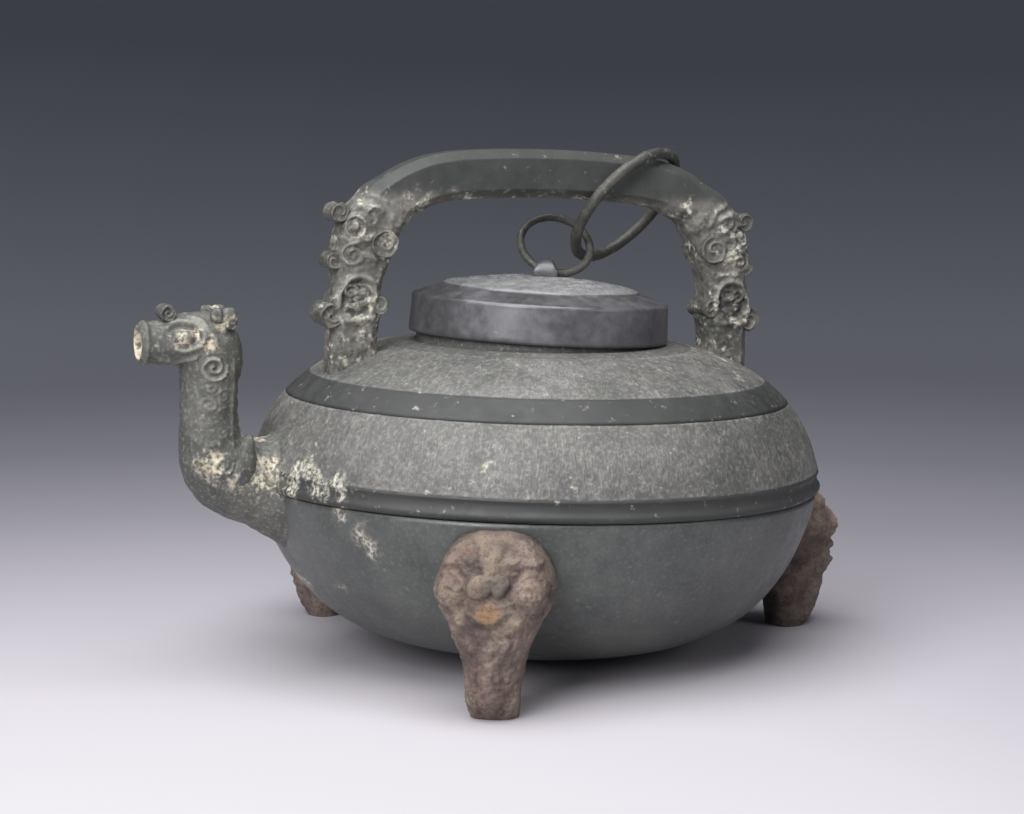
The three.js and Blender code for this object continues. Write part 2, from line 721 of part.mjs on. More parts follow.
function makeLid() {

	const innerRadius = NECK_RADIUS + LID_CLEARANCE;
	const outerRadius = innerRadius + LID_WALL;
	const { shoulderTop, borderTop, fieldEdge, crown } = lidHeights();
	const topRadius = outerRadius - LID_SKIRT_TAPER;
	const edge = 0.8;
	const domeDrop = ( radius ) => LID_DOME * ( radius / LID_FIELD_RADIUS ) ** 2;
	const profile = [
		new THREE.Vector2( 0, crown - LID_WALL ),
		new THREE.Vector2( LID_FIELD_RADIUS * 0.6, crown - LID_WALL - domeDrop( LID_FIELD_RADIUS * 0.6 ) ),
		new THREE.Vector2( LID_FIELD_RADIUS, borderTop - LID_WALL ),
		new THREE.Vector2( innerRadius - 1.5, shoulderTop - LID_WALL ),
		new THREE.Vector2( innerRadius, shoulderTop - LID_WALL - 1.5 ),
		new THREE.Vector2( innerRadius, 0 ),
		new THREE.Vector2( outerRadius, 0 ),
		new THREE.Vector2( topRadius, shoulderTop - edge ),
		new THREE.Vector2( topRadius - edge, shoulderTop ),
		new THREE.Vector2( LID_FIELD_RADIUS + 0.5, borderTop ),
		new THREE.Vector2( LID_FIELD_RADIUS, fieldEdge ),
		new THREE.Vector2( LID_FIELD_RADIUS * 0.66, crown - domeDrop( LID_FIELD_RADIUS * 0.66 ) ),
		new THREE.Vector2( LID_FIELD_RADIUS * 0.33, crown - domeDrop( LID_FIELD_RADIUS * 0.33 ) ),
		new THREE.Vector2( 0, crown ),
	];
	const cap = solidOf( turned( profile, LID_SIDES ) );
	const hole = knobHole();
	const axis = knobHoleAxis();
	const heading = Math.atan2( axis.y, axis.x );
	const knobRadius = KNOB_HOLE_RADIUS + KNOB_RIM;
	const rings = [ - 1, 1 ].map( ( end ) => {

		const arch = [];
		const sides = 6;
		for ( let step = 0; step <= sides; step ++ ) {

			const turn = Math.PI * step / sides;
			arch.push( [ knobRadius * Math.cos( turn ), hole.z + knobRadius * Math.sin( turn ) ] );

		}

		arch.push( [ - knobRadius - 0.6, crown - LID_WALL / 2 ], [ knobRadius + 0.6, crown - LID_WALL / 2 ] );
		return arch.map( ( [ across, height ] ) => {

			const rise = ( height - crown ) / ( hole.z + knobRadius - crown );
			const halfLength = THREE.MathUtils.lerp( KNOB_LENGTH, KNOB_TOP_LENGTH, Math.max( rise, 0 ) ) / 2;
			return new THREE.Vector3( end * halfLength, across, height );

		} );

	} );
	const knob = ringsToGeometry( rings );
	knob.rotateZ( heading );
	knob.translate( hole.x, hole.y, 0 );
	const drill = new THREE.CylinderGeometry( KNOB_HOLE_RADIUS, KNOB_HOLE_RADIUS, KNOB_LENGTH * 3, 12 );
	drill.applyQuaternion( new THREE.Quaternion().setFromUnitVectors( new THREE.Vector3( 0, 1, 0 ), axis ) );
	drill.translate( hole.x, hole.y, hole.z );
	const bored = solidOf( facedOut( knob ) ).subtract( solidOf( facedOut( drill ) ) );
	return cap.add( bored );

}

// A ring of round wire about a middle point, in the plane across a normal
function makeRing( centre, normal, radius, wire, steps ) {

	const first = new THREE.Vector3( 1, 0, 0 ).cross( normal ).normalize();
	const second = new THREE.Vector3().crossVectors( normal, first );
	const rings = [];
	for ( let step = 0; step < steps; step ++ ) {

		const turn = step / steps * Math.PI * 2;
		const out = first.clone().multiplyScalar( Math.cos( turn ) ).addScaledVector( second, Math.sin( turn ) );
		rings.push( Array.from( { length: RING_WIRE_SIDES }, ( _, side ) => {

			const roll = side / RING_WIRE_SIDES * Math.PI * 2;
			return centre.clone().addScaledVector( out, radius + wire * Math.cos( roll ) )
				.addScaledVector( normal, wire * Math.sin( roll ) );

		} ) );

	}

	return solidOf( ringsToGeometry( rings, true ) );

}

// How far a point is from the surface of the handle's plain bar
function distanceToBar( point, frames ) {

	let nearest = Infinity;
	for ( const { middle, out, along } of frames ) {

		const away = point.clone().sub( middle );
		const beyond = Math.abs( away.dot( along ) );
		const up = Math.abs( away.dot( out ) ) - BAR_HEIGHT / 2;
		const across = Math.abs( away.y ) - BAR_WIDTH / 2;
		const slanted = ( up + across + BAR_CHAMFER ) * Math.SQRT1_2;
		nearest = Math.min( nearest, Math.hypot( Math.max( up, across, slanted, 0 ), beyond ) );

	}

	return nearest;

}

// The large ring hangs from inside the small one, as low as the bar that goes through it lets it
function handleRingPlace( lowEnd, place ) {

	const curve = handleCurve();
	const steps = 90;
	const frames = Array.from( { length: steps }, ( _, step ) => {

		const share = THREE.MathUtils.lerp( 0.4, 0.78, step / steps );
		const along = curve.getTangentAt( share ).transformDirection( place );
		const out = new THREE.Vector3( - along.z, 0, along.x );
		return { middle: curve.getPointAt( share ).applyMatrix4( place ), along, out };

	} );
	const hungAt = ( rise, roll ) => {

		const long = new THREE.Vector3( Math.cos( rise ), 0, Math.sin( rise ) );
		const level = new THREE.Vector3( 0, 1, 0 );
		const down = new THREE.Vector3().crossVectors( level, long ).negate();
		const side = level.multiplyScalar( Math.cos( roll ) ).addScaledVector( down, - Math.sin( roll ) );
		const centre = lowEnd.clone().addScaledVector( long, HANDLE_RING_RADIUS );
		return { centre, long, side, normal: new THREE.Vector3().crossVectors( long, side ) };

	};

	const clears = ( { centre, long, side } ) => {

		for ( let turn = 0; turn < Math.PI * 2; turn += Math.PI / 30 ) {

			const point = centre.clone().addScaledVector( long, HANDLE_RING_RADIUS * Math.cos( turn ) )
				.addScaledVector( side, HANDLE_RING_RADIUS * Math.sin( turn ) );
			if ( distanceToBar( point, frames ) < HANDLE_RING_WIRE + GAP ) return false;

		}

		return true;

	};

	const step = THREE.MathUtils.degToRad( 0.25 );
	let hung = hungAt( HANDLE_RING_STEEPEST, HANDLE_RING_ROLL );
	for ( let rise = HANDLE_RING_STEEPEST; rise > 0; rise -= step ) {

		const free = HANDLE_RING_PLAY.map( ( turn ) => hungAt( rise, HANDLE_RING_ROLL + turn ) ).find( clears );
		if ( ! free ) break;
		hung = free;

	}

	return hung;

}

// Front, back and half width of a foot as stations of
// [ share of its height, front beyond the seam, back beyond the seam, share of its width ]
const FOOT_STATIONS = [
	[ 0, 7, - 8, 0.41 ],
	[ 0.07, 11.5, - 8.5, 0.435 ],
	[ 0.24, 16.5, - 11, 0.48 ],
	[ 0.34, 17.5, - 15, 0.55 ],
	[ 0.42, 20, - 19, 0.63 ],
	[ 0.52, 19, - 22, 0.78 ],
	[ 0.6, 18, - 22, 0.93 ],
	[ 0.7, 18, - 22, 1 ],
	[ 0.8, 16.5, - 22, 0.93 ],
	[ 0.9, 12.5, - 20, 0.8 ],
	[ 0.96, 8, - 18, 0.64 ],
	[ 1, 2, - 14, 0.4 ],
];

// Raised forms of the mask: [ share of the half width, share of the height, radius, rise ]
const MASK_FORMS = [
	[ 0.62, 0.69, 8.5, 4.4 ],
	[ 0.4, 0.84, 6, 2.4 ],
	[ 0, 0.82, 5, 3 ],
	[ 0.16, 0.69, 4.4, 3.4 ],
	[ 0, 0.55, 6, 3.6 ],
	[ 0.42, 0.76, 3.4, - 2.6 ],
	[ 0.36, 0.6, 4, - 2.2 ],
];

// Places round a foot's section: close together over the mask, wide apart behind it
function footTurns() {

	const front = Array.from( { length: FOOT_FRONT_SIDES }, ( _, side ) =>
		( side / ( FOOT_FRONT_SIDES - 1 ) - 0.5 ) * Math.PI );
	const back = Array.from( { length: FOOT_BACK_SIDES }, ( _, side ) =>
		( ( side + 1 ) / ( FOOT_BACK_SIDES + 1 ) + 0.5 ) * Math.PI );
	return [ ...front, ...back ];

}

function makeFoot( azimuth, envelope ) {

	const localSeam = SEAM_HEIGHT - SEAM_RADIUS * Math.sin( LEAN ) * Math.cos( azimuth );
	const height = localSeam - FOOT_DROP;
	const rings = [];
	const turns = footTurns();
	for ( let row = 0; row <= FOOT_ROWS; row ++ ) {

		const share = row / FOOT_ROWS;
		const stationAt = ( column ) => alongStations( FOOT_STATIONS, share, column );
		const [ front, back, breadth ] = [ 1, 2, 3 ].map( stationAt );
		const halfWidth = breadth * FOOT_WIDTH / 2;
		const middle = SEAM_RADIUS + ( front + back ) / 2;
		rings.push( turns.map( ( turn ) => {

			const [ out, across ] = squaredCircle( turn, 2.7 );
			let radius = middle + out * ( front - back ) / 2;
			const y = across * halfWidth;
			if ( out > 0 ) {

				for ( const [ place, up, size, rise ] of MASK_FORMS ) {

					const aside = Math.abs( y ) - place * FOOT_WIDTH / 2;
					const above = ( share - up ) * height;
					const away = ( aside ** 2 + above ** 2 ) / size ** 2;
					radius += rise * Math.exp( - 1.4 * away ) * Math.min( out * 2, 1 );

				}

			}

			return new THREE.Vector3( radius, y, share * height );

		} ) );

	}

	const geometry = ringsToGeometry( rings );
	geometry.rotateZ( azimuth );
	return solidOf( geometry ).subtract( envelope );

}

const part = new THREE.Group();

const vessel = new THREE.Group();
vessel.rotation.y = LEAN;
vessel.position.x = VESSEL_SHIFT;
vessel.updateMatrix();
part.add( vessel );

const envelope = bodyEnvelope( GAP );
const boreInside = - SEAM_RADIUS + WALL * 6;
const boreOutside = - SEAM_RADIUS - SPOUT_MOUTH_REACH - 10;
const bore = tubeAlong( borePath( boreInside, boreOutside ), SPOUT_BORE_RADIUS, BORE_SIDES );
vessel.add( meshOf( 'body', makeBody( bore ), bronze ) );
vessel.add( meshOf( 'spout', makeSpout( bore, envelope ), bronze ) );

const handlePlace = new THREE.Matrix4().makeTranslation( HANDLE_SHIFT, 0, NECK_BASE_HEIGHT )
	.multiply( new THREE.Matrix4().makeRotationY( HANDLE_TILT ) )
	.multiply( new THREE.Matrix4().makeTranslation( 0, 0, - NECK_BASE_HEIGHT ) );
vessel.add( meshOf( 'handle', makeHandle( envelope, handlePlace ), paleBronze ) );

const lidGroup = new THREE.Group();
lidGroup.position.z = LID_SKIRT_FOOT;
lidGroup.rotation.y = LID_TILT;
lidGroup.updateMatrix();
vessel.add( lidGroup );
lidGroup.add( meshOf( 'lid', makeLid(), darkBronze ) );

const lidRingCentre = knobHole().applyMatrix4( lidGroup.matrix );
lidRingCentre.addScaledVector( LID_RING_RISE, LID_RING_RADIUS );
const lidRing = makeRing( lidRingCentre, LID_RING_NORMAL, LID_RING_RADIUS, LID_RING_WIRE, LID_RING_STEPS );
vessel.add( meshOf( 'lid_ring', lidRing, paleBronze ) );

const linkReach = LID_RING_RADIUS - LID_RING_WIRE - HANDLE_RING_WIRE - LINK_PLAY;
const lowEnd = lidRingCentre.clone().add( new THREE.Vector3( linkReach, 0, 0 ) );
const hung = handleRingPlace( lowEnd, handlePlace );
const ringShape = [ HANDLE_RING_RADIUS, HANDLE_RING_WIRE, HANDLE_RING_STEPS ];
vessel.add( meshOf( 'handle_ring', makeRing( hung.centre, hung.normal, ...ringShape ), darkBronze ) );

const standingEnvelope = envelope.transform( Array.from( vessel.matrix.elements ) );
const footNames = [ 'foot_rear', 'foot_left', 'foot_right' ];
for ( let number = 0; number < FOOT_COUNT; number ++ ) {

	const azimuth = number / FOOT_COUNT * Math.PI * 2;
	part.add( meshOf( footNames[ number ], makeFoot( azimuth, standingEnvelope ), rustedIron ) );

}

// The origin is on the ground, below the middle of the whole vessel
const box = new THREE.Box3().setFromObject( part, true );
part.position.set( - ( box.min.x + box.max.x ) / 2, - ( box.min.y + box.max.y ) / 2, - box.min.z );

export default part;
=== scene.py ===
"""Finished look of an ancient bronze he wine vessel with iron mask feet."""

import math

import bpy
import numpy as np
from mathutils import Matrix, Vector


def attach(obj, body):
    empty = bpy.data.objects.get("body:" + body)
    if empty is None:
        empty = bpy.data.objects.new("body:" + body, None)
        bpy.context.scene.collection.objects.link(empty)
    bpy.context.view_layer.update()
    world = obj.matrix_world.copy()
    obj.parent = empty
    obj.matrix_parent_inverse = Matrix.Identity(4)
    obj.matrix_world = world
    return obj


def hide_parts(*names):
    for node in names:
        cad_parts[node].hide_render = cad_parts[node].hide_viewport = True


bl_info = {
    "name": "Bronze he wine vessel",
    "version": (1, 0, 0),
    "blender": (4, 5, 0),
    "location": "3D View > Sidebar > Vessel",
    "description": "Cast bronze body, spout, handle, lid and rings, and iron mask feet",
    "category": "Object",
}

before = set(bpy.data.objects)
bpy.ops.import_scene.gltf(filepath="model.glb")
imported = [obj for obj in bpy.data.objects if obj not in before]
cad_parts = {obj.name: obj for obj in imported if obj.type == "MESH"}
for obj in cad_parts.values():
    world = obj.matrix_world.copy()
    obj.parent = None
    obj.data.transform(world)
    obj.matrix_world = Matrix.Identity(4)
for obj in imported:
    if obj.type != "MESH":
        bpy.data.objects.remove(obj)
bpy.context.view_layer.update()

# Sizes are in millimetres, and the same as the solids' own
LEAN = math.radians(2.06)
AXIS_PLACE = 11.58
CLEARANCE = 0.3
WALL = 3.0
SEAM_RADIUS = 120.0
SEAM_HEIGHT = 75.2
LIP_OVERHANG = 1.5
LIP_THICKNESS = 3.2
BOWL_UNDERSIDE = 4.9
BOWL_SET_BACK = 2.4
BOWL_SIDE_ROUNDING = 4.4
BOWL_BASE_ROUNDING = 1.32
BAND_FOOT = 108.8
BAND_HEAD = 117.3
NECK_BASE_HEIGHT = 131.0
NECK_RADIUS = 51.1
NECK_WALL = 3.2
NECK_TOP = 144.0
NECK_BORDER = 6.5
SHOULDER_CURVE = [(118.6, 81.6), (112.7, 106.0), (97.5, 124.1), (58.0, 131.0)]
SHOULDER_SAMPLES = 900
# Faint line raised round the bowl below its lip
BOWL_LINE_HEIGHT = 62.5
# Cells of the scroll pattern: their size, and how many stand round each register
SCROLL_PITCH = 3.4
LOWER_SCROLLS = 216
UPPER_SCROLLS = 176
# Distance between the comb's fine strokes round the scrolls
COMB_PITCH = 1.25
# Shares of the relief's height that the worn patterns keep
REGISTER_LIFT = 0.4
LID_LIFT = 0.55

LID_INNER_RADIUS = 52.05
LID_WALL = 2.4
LID_SKIRT_FOOT = 133.3
LID_SKIRT_HEIGHT = 16.3
LID_SKIRT_TAPER = 0.7
LID_BORDER_RISE = 3.4
LID_FIELD_RADIUS = 41.0
LID_FIELD_STEP = 1.1
LID_DOME = 4.2
# Rings of scrolls on the lid: their spacing outward, and about how far apart the scrolls stand
LID_RING_PITCH = 8.2
LID_SCROLL_PITCH = 7.6
LID_TILT = math.radians(2.1)
KNOB_PLACE = 1.8
KNOB_LENGTH = 10.4
KNOB_TOP_LENGTH = 5.4
KNOB_RIM = 2.0
KNOB_HOLE_RADIUS = 2.8
KNOB_HOLE_DIP = 0.3
LID_RING_RADIUS = 15.0
LID_RING_WIRE = 1.75
LID_RING_NORMAL = (-0.116, -0.74, 0.663)
LID_RING_RISE = (0.496, 0.536, 0.684)
HANDLE_RING_RADIUS = 28.3
HANDLE_RING_WIRE = 2.5
HANDLE_RING_CLIMB = math.radians(37.25)
HANDLE_RING_ROLL = math.radians(41.0)
LINK_REACH = 9.35

HANDLE_CROWN = 211.3
HANDLE_SPAN = 168.0
HANDLE_TILT = math.radians(0.9)
HANDLE_SHIFT = 1.4
BAR_HEIGHT = 20.0
BAR_WIDTH = 16.0
BAR_CHAMFER = 3.6
HEAD_TOP = 186.0
HEAD_FOOT = 137.0
HEAD_DEPTH = 25.0
HEAD_WIDTH = 21.0

SPOUT_BORE_RADIUS = 6.5
SPOUT_NECK_X = -142.0
SPOUT_MOUTH_X = -171.5
SPOUT_MOUTH_HEIGHT = 132.3
SPOUT_ROOT_HEIGHT = 77.0
SPOUT_ELBOW_RADIUS = 12.0
SPOUT_LENGTH = 112.0
# Beads of the mane and scrolls down the neck, by their spacing
SPOUT_BEAD_PITCH = 5.6
SPOUT_SCROLL_PITCH = 7.4
# Two blunt forms of each ear: place from the bore's upper bend inward, across and up, and half sizes
SPOUT_EAR = [(5.6, 7.6, 9.8, (3.6, 2.4, 4.6)), (0.6, 8.0, 11.2, (2.6, 2.2, 3.0))]
# Upright leaves that stand in the spout's inner bend
SPOUT_LEAF_X = -130.0
SPOUT_LEAF_ACROSS = 11.0
SPOUT_LEAF_HEIGHT = 85.0
SPOUT_LEAF_HALF_SIZES = (4.4, 4.2, 11.5)

FOOT_WIDTH = 45.4
FOOT_DROP = 6.0
FOOT_SHIFT = 13.98
# Height of the foot that the mask's places are written for
MASK_HEIGHT = 69.2
# The foot nearest the camera leans a little sideways
FOOT_TWIST = {"foot_right": 1.0}
FOOT_AZIMUTHS = {"foot_rear": 0.0, "foot_left": 120.0, "foot_right": 240.0}

# Millimetres in a metre, because the meshes and the settings are in metres
MILLIMETRES = 1000
# The lattice's sine: its step along each axis and for each seed, and how far it is stretched
LATTICE_STEPS = (127.1, 311.7, 74.7)
LATTICE_SEED_STEP = 53.3
LATTICE_STRETCH = 43758.5453


def eased(low, high, value):
    """Share from 0 at low to 1 at high, cubed so that it starts and ends gently."""
    share = np.clip((value - low) / (high - low), 0, 1)
    return share * share * (3 - 2 * share)


def between(low, high, edge, value):
    """1 where value lies from low to high, fading to 0 over edge on both sides."""
    return eased(low - edge, low, value) * (1 - eased(high, high + edge, value))


def along(stations, places):
    """Smooth values along stations of (place, value, ...): a Hermite cubic with each knot's mean slope."""
    table = np.array(stations, float)
    knots = table[:, 0]
    values = table[:, 1:]
    slopes = np.gradient(values, knots, axis=0)
    places = np.clip(places, knots[0], knots[-1])
    here = np.clip(np.searchsorted(knots, places, side="right") - 1, 0, len(knots) - 2)
    run = knots[here + 1] - knots[here]
    t = ((places - knots[here]) / run)[:, None]
    start = (2 * t**3 - 3 * t**2 + 1) * values[here] + (t**3 - 2 * t**2 + t) * run[:, None] * slopes[here]
    end = (3 * t**2 - 2 * t**3) * values[here + 1] + (t**3 - t**2) * run[:, None] * slopes[here + 1]
    return start + end


def lattice(cells, seed):
    """One repeatable number from 0 to 1 for each whole-numbered cell: the broken part of a large sine."""
    stretched = np.sin(cells @ np.array(LATTICE_STEPS) + seed * LATTICE_SEED_STEP) * LATTICE_STRETCH
    return stretched - np.floor(stretched)


def noise(points, size, seed):
    """Smooth noise from -1 to 1: the eight lattice numbers round each point, mixed by eased distance."""
    places = points / size
    low = np.floor(places)
    part = places - low
    part = part * part * (3 - 2 * part)
    total = np.zeros(points.shape[:-1])
    for corner in np.ndindex(2, 2, 2):
        step = np.array(corner, float)
        weight = np.prod(np.where(step > 0, part, 1 - part), axis=-1)
        total += weight * lattice(low + step, seed)
    return 2 * total - 1


def rough(points, size, seed):
    """Three layers of noise, each half the size and half the strength of the one before."""
    return sum(noise(points, size / 2**k, seed + k) / 2**k for k in range(3)) / 1.75


def unit(vector):
    """Vector of the same direction, one long."""
    return np.array(vector) / np.linalg.norm(vector)


def whole_turn(count):
    """Angles of a whole turn in even steps, without the last that would close it."""
    return np.arange(count) / count * 2 * np.pi


def squared(wave, power):
    """Sine or cosine raised to a power below 1 with its sign kept, which makes a round section squarer."""
    return np.sign(wave) * np.abs(wave) ** power


def tilted(points, angle):
    """Points turned about the Y axis, so that a positive angle tips their tops toward +X."""
    c, s = math.cos(angle), math.sin(angle)
    x, y, z = points[..., 0], points[..., 1], points[..., 2]
    return np.stack([x * c + z * s, y, z * c - x * s], -1)


def repeated(value, pitch):
    """Signed distance from the nearest whole number of pitches."""
    return (value / pitch - np.round(value / pitch)) * pitch


def ridge(distance, width):
    """Rounded ridge: 1 on the line and nearly 0 a width and a half away from it."""
    return np.exp(-((distance / width) ** 2))


def to_line(x, y, corners):
    """Distance of each (x, y) from the nearest stretch of a line through the corners."""
    nearest = np.full(np.shape(x), np.inf)
    for (ax, ay), (bx, by) in zip(corners[:-1], corners[1:]):
        dx, dy = bx - ax, by - ay
        share = np.clip(((x - ax) * dx + (y - ay) * dy) / (dx * dx + dy * dy), 0, 1)
        nearest = np.minimum(nearest, np.hypot(x - ax - share * dx, y - ay - share * dy))
    return nearest


def to_spiral(x, y, radius, turns, start, mirrored=False):
    """Distance from a spiral whose radius grows evenly from 0 to radius over the turns."""
    angle = np.arctan2(-y if mirrored else y, x) - start
    pitch = radius / turns
    away = np.hypot(x, y)
    offset = away / pitch - angle / (2 * np.pi)
    distance = np.abs(offset - np.round(offset)) * pitch
    return np.where(away < radius + pitch * 0.3, distance, np.maximum(away - radius, distance))


def grid_faces(rows, columns, joined_rows=False):
    """Four-sided faces of a grid of points whose columns join round, and its rows too where asked."""
    i = np.arange(rows if joined_rows else rows - 1)[:, None]
    j = np.arange(columns)[None, :]
    above = (i + 1) % rows
    beside = (j + 1) % columns
    corners = [i * columns + j, i * columns + beside, above * columns + beside, above * columns + j]
    return np.stack(corners, -1).reshape(-1, 4)


def fan_faces(row, hub, columns):
    """Triangles from the points of a row to one hub point."""
    j = np.arange(columns)
    return np.stack([row + j, np.full(columns, hub), row + (j + 1) % columns], -1)


def closed_grid(points):
    """Points and faces of a tube of rows, with its two end rows closed to their middles."""
    rows, columns, _ = points.shape
    flat = points.reshape(-1, 3)
    first, last = len(flat), len(flat) + 1
    hubs = [points[0].mean(0), points[-1].mean(0)]
    head = fan_faces(0, first, columns)
    tail = fan_faces((rows - 1) * columns, last, columns)[:, ::-1]
    return np.vstack([flat, hubs]), [grid_faces(rows, columns), head, tail]


def seated(points):
    """From the vessel's own upright frame to the part's: turned by the lean, then moved to its axis."""
    return tilted(points, LEAN) + np.array([AXIS_PLACE, 0, 0])


def unseated(points):
    """From the part's frame back to the vessel's own upright one."""
    return tilted(points - np.array([AXIS_PLACE, 0, 0]), -LEAN)


def enclosed(points, faces):
    """Volume inside the faces, negative where they point inwards."""
    total = 0.0
    for block in faces:
        for corner in range(1, block.shape[1] - 1):
            a, b, c = (points[block[:, k]] for k in (0, corner, corner + 1))
            total += np.einsum("ij,ij->", a, np.cross(b, c))
    return total / 6


# What each point of a mesh tells its material: height of the pattern, crust, and which tones it takes
TRAITS = ("relief", "crust", "shade")


class Shells:
    """Closed shells gathered into one mesh, with a value for each point under each trait's name."""

    def __init__(self):
        self.points = []
        self.faces = []
        self.traits = {trait: [] for trait in TRAITS}
        self.count = 0

    def add(self, points, faces, **traits):
        points = np.asarray(points, float)
        if enclosed(points, faces) < 0:
            faces = [block[:, ::-1] for block in faces]
        self.points.append(points)
        self.faces += [block + self.count for block in faces]
        for name, values in self.traits.items():
            given = traits.get(name)
            flat = np.zeros(len(points))
            if given is not None:
                given = np.ravel(given)
                flat[: len(given)] = given
                flat[len(given):] = given.mean() if len(given) else 0
            values.append(flat)
        self.count += len(points)

    def make(self, name, nodes, slot_name, material, crease=None):
        """One smooth-shaded object in metres that rides on the root and stands for the CAD nodes."""
        points = np.vstack(self.points) / MILLIMETRES
        sizes = np.concatenate([np.full(len(block), block.shape[1]) for block in self.faces])
        corners = np.concatenate([block.ravel() for block in self.faces])
        mesh = bpy.data.meshes.new(name)
        mesh.vertices.add(len(points))
        mesh.vertices.foreach_set("co", points.ravel())
        mesh.loops.add(len(corners))
        mesh.loops.foreach_set("vertex_index", corners.astype(np.int32))
        mesh.polygons.add(len(sizes))
        mesh.polygons.foreach_set("loop_start", (np.cumsum(sizes) - sizes).astype(np.int32))
        mesh.polygons.foreach_set("use_smooth", np.ones(len(sizes), bool))
        mesh.update(calc_edges=True)
        if crease is not None:
            mesh.set_sharp_from_angle(angle=crease)
        for trait, values in self.traits.items():
            layer = mesh.attributes.new(trait, "FLOAT", "POINT")
            layer.data.foreach_set("value", np.concatenate(values).astype(np.float32))
        if mesh.validate():
            raise RuntimeError(f"{name} had faces that Blender could not keep")
        piece = bpy.data.objects.new(name, mesh)
        bpy.context.scene.collection.objects.link(piece)
        mesh.materials.append(material)
        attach(piece, "root")
        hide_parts(*nodes)
        return piece


# Body


def shoulder_curve(shares):
    """Cubic Bezier through the shoulder's four named points, as radius and height."""
    t = np.asarray(shares, float)[:, None]
    a, b, c, d = (np.array(p) for p in SHOULDER_CURVE)
    return (1 - t) ** 3 * a + 3 * (1 - t) ** 2 * t * b + 3 * (1 - t) * t**2 * c + t**3 * d


def bowl_curve(steps):
    """Bowl's profile: radius and drop are powers of a quarter circle's cosine and sine."""
    radius = SEAM_RADIUS - LIP_OVERHANG
    top = SEAM_HEIGHT - LIP_THICKNESS
    turn = np.pi / 2 * (1 - np.linspace(0, 1, steps) ** 1.5)
    out = radius * np.clip(np.cos(turn), 0, 1) ** (2 / BOWL_SIDE_ROUNDING)
    out[0] = 0
    return np.stack([out, top - (top - BOWL_UNDERSIDE) * np.sin(turn) ** (2 / BOWL_BASE_ROUNDING)], -1)


def even(profile, step):
    """The same profile with points about one step apart, and their distances along it."""
    lengths = np.concatenate([[0], np.cumsum(np.hypot(*np.diff(profile, axis=0).T))])
    places = np.linspace(0, lengths[-1], max(int(round(lengths[-1] / step)), 1) + 1)
    return np.stack([np.interp(places, lengths, profile[:, k]) for k in (0, 1)], -1), places


def inward(profile, distance):
    """Profile moved by a distance to its left, which is inside for one that climbs."""
    run = np.gradient(profile, axis=0)
    run /= np.maximum(np.hypot(run[:, 0], run[:, 1]), 1e-9)[:, None]
    moved = profile + distance * np.stack([-run[:, 1], run[:, 0]], -1)
    moved[:, 0] = np.maximum(moved[:, 0], 0)
    return moved


def turned(profile, columns):
    """Profile of radius and height turned round the Z axis, as a grid of points and its angles."""
    angles = whole_turn(columns)
    x = profile[:, :1] * np.cos(angles)
    y = profile[:, :1] * np.sin(angles)
    return np.stack([x, y, np.repeat(profile[:, 1:], columns, 1)], -1), angles


def set_back(points):
    """Bowl's drift toward the rear foot, growing evenly from its lip to its underside."""
    top = SEAM_HEIGHT - LIP_THICKNESS
    moved = points.copy()
    moved[..., 0] += np.where(points[..., 2] < top, BOWL_SET_BACK * (1 - points[..., 2] / top), 0)
    return moved


# Outline of the body from its underside over the lip to the neck, as radius and height
OUTER = np.vstack([bowl_curve(60),
                   [(SEAM_RADIUS, SEAM_HEIGHT - LIP_THICKNESS * 0.6), (SEAM_RADIUS, SEAM_HEIGHT)],
                   shoulder_curve(np.linspace(0, 1, 60))])


def clear_of_body(points, gap):
    """Points of the vessel's frame moved straight out from its axis to stand a gap clear of the body."""
    top = SEAM_HEIGHT - LIP_THICKNESS
    back = np.where(points[..., 2] < top, BOWL_SET_BACK * (1 - points[..., 2] / top), 0)
    x, y = points[..., 0] - back, points[..., 1]
    away = np.maximum(np.hypot(x, y), 1e-6)
    need = np.interp(points[..., 2], OUTER[:, 1], OUTER[:, 0], right=0) + gap
    pushed = np.maximum(away, need) / away
    return np.stack([x * pushed + back, y * pushed, points[..., 2]], -1)


def above_body(points, sink):
    """Points of the vessel's frame raised to lie no deeper than a little under the shoulder's surface."""
    away = np.hypot(points[..., 0], points[..., 1])
    high = OUTER[OUTER[:, 1] > SEAM_HEIGHT][::-1]
    least = np.interp(away, high[:, 0], high[:, 1]) - sink
    return np.stack([points[..., 0], points[..., 1], np.maximum(points[..., 2], least)], -1)


def scrolls(across, up, pitch, seed):
    """Cloud-scroll relief: in each cell a small spiral, every second one mirrored, among fine upright
    strokes that lean one way or the other. The two columns of a panel share a random rise, so rows of
    neighbouring panels don't line up. Heights run from 0 to 1."""
    column = np.floor(across / pitch)
    panel = np.floor(across / (2 * pitch))
    up = up + pitch * lattice(np.stack([panel, panel * 0, panel * 0], -1), seed + 7)
    # Cells stand a quarter taller than they are wide
    up = up * 0.8
    row = np.floor(up / pitch)
    mirrored = np.where((column + row) % 2 > 0, -1.0, 1.0)
    x = (across - (column + 0.5) * pitch) * mirrored
    y = up - (row + 0.5) * pitch
    cells = np.stack([column, row, np.zeros_like(row)], -1)
    size = pitch * (0.28 + 0.14 * lattice(cells, seed))
    x = x + pitch * 0.4 * (lattice(cells, seed + 1) - 0.5)
    y = y + pitch * 0.4 * (lattice(cells, seed + 2) - 0.5)
    twist = 3.6 * (lattice(cells, seed + 3) - 0.5)
    away = np.hypot(x, y)
    offset = away / (size * 0.85) - (np.arctan2(y, x) + 1.1 + twist) / (2 * np.pi)
    line = np.abs(offset - np.round(offset)) * size * 0.85
    coil = 0.8 * ridge(line, pitch * 0.11) * (1 - eased(size, size * 1.2, away))
    slant = np.where(lattice(cells, seed + 4) > 0.5, 0.14, -0.14)
    comb = ridge(repeated(across + slant * up, COMB_PITCH), 0.34) * eased(size * 0.9, size * 1.2, away)
    return np.clip(np.maximum(coil, comb * 0.9), 0, 1)


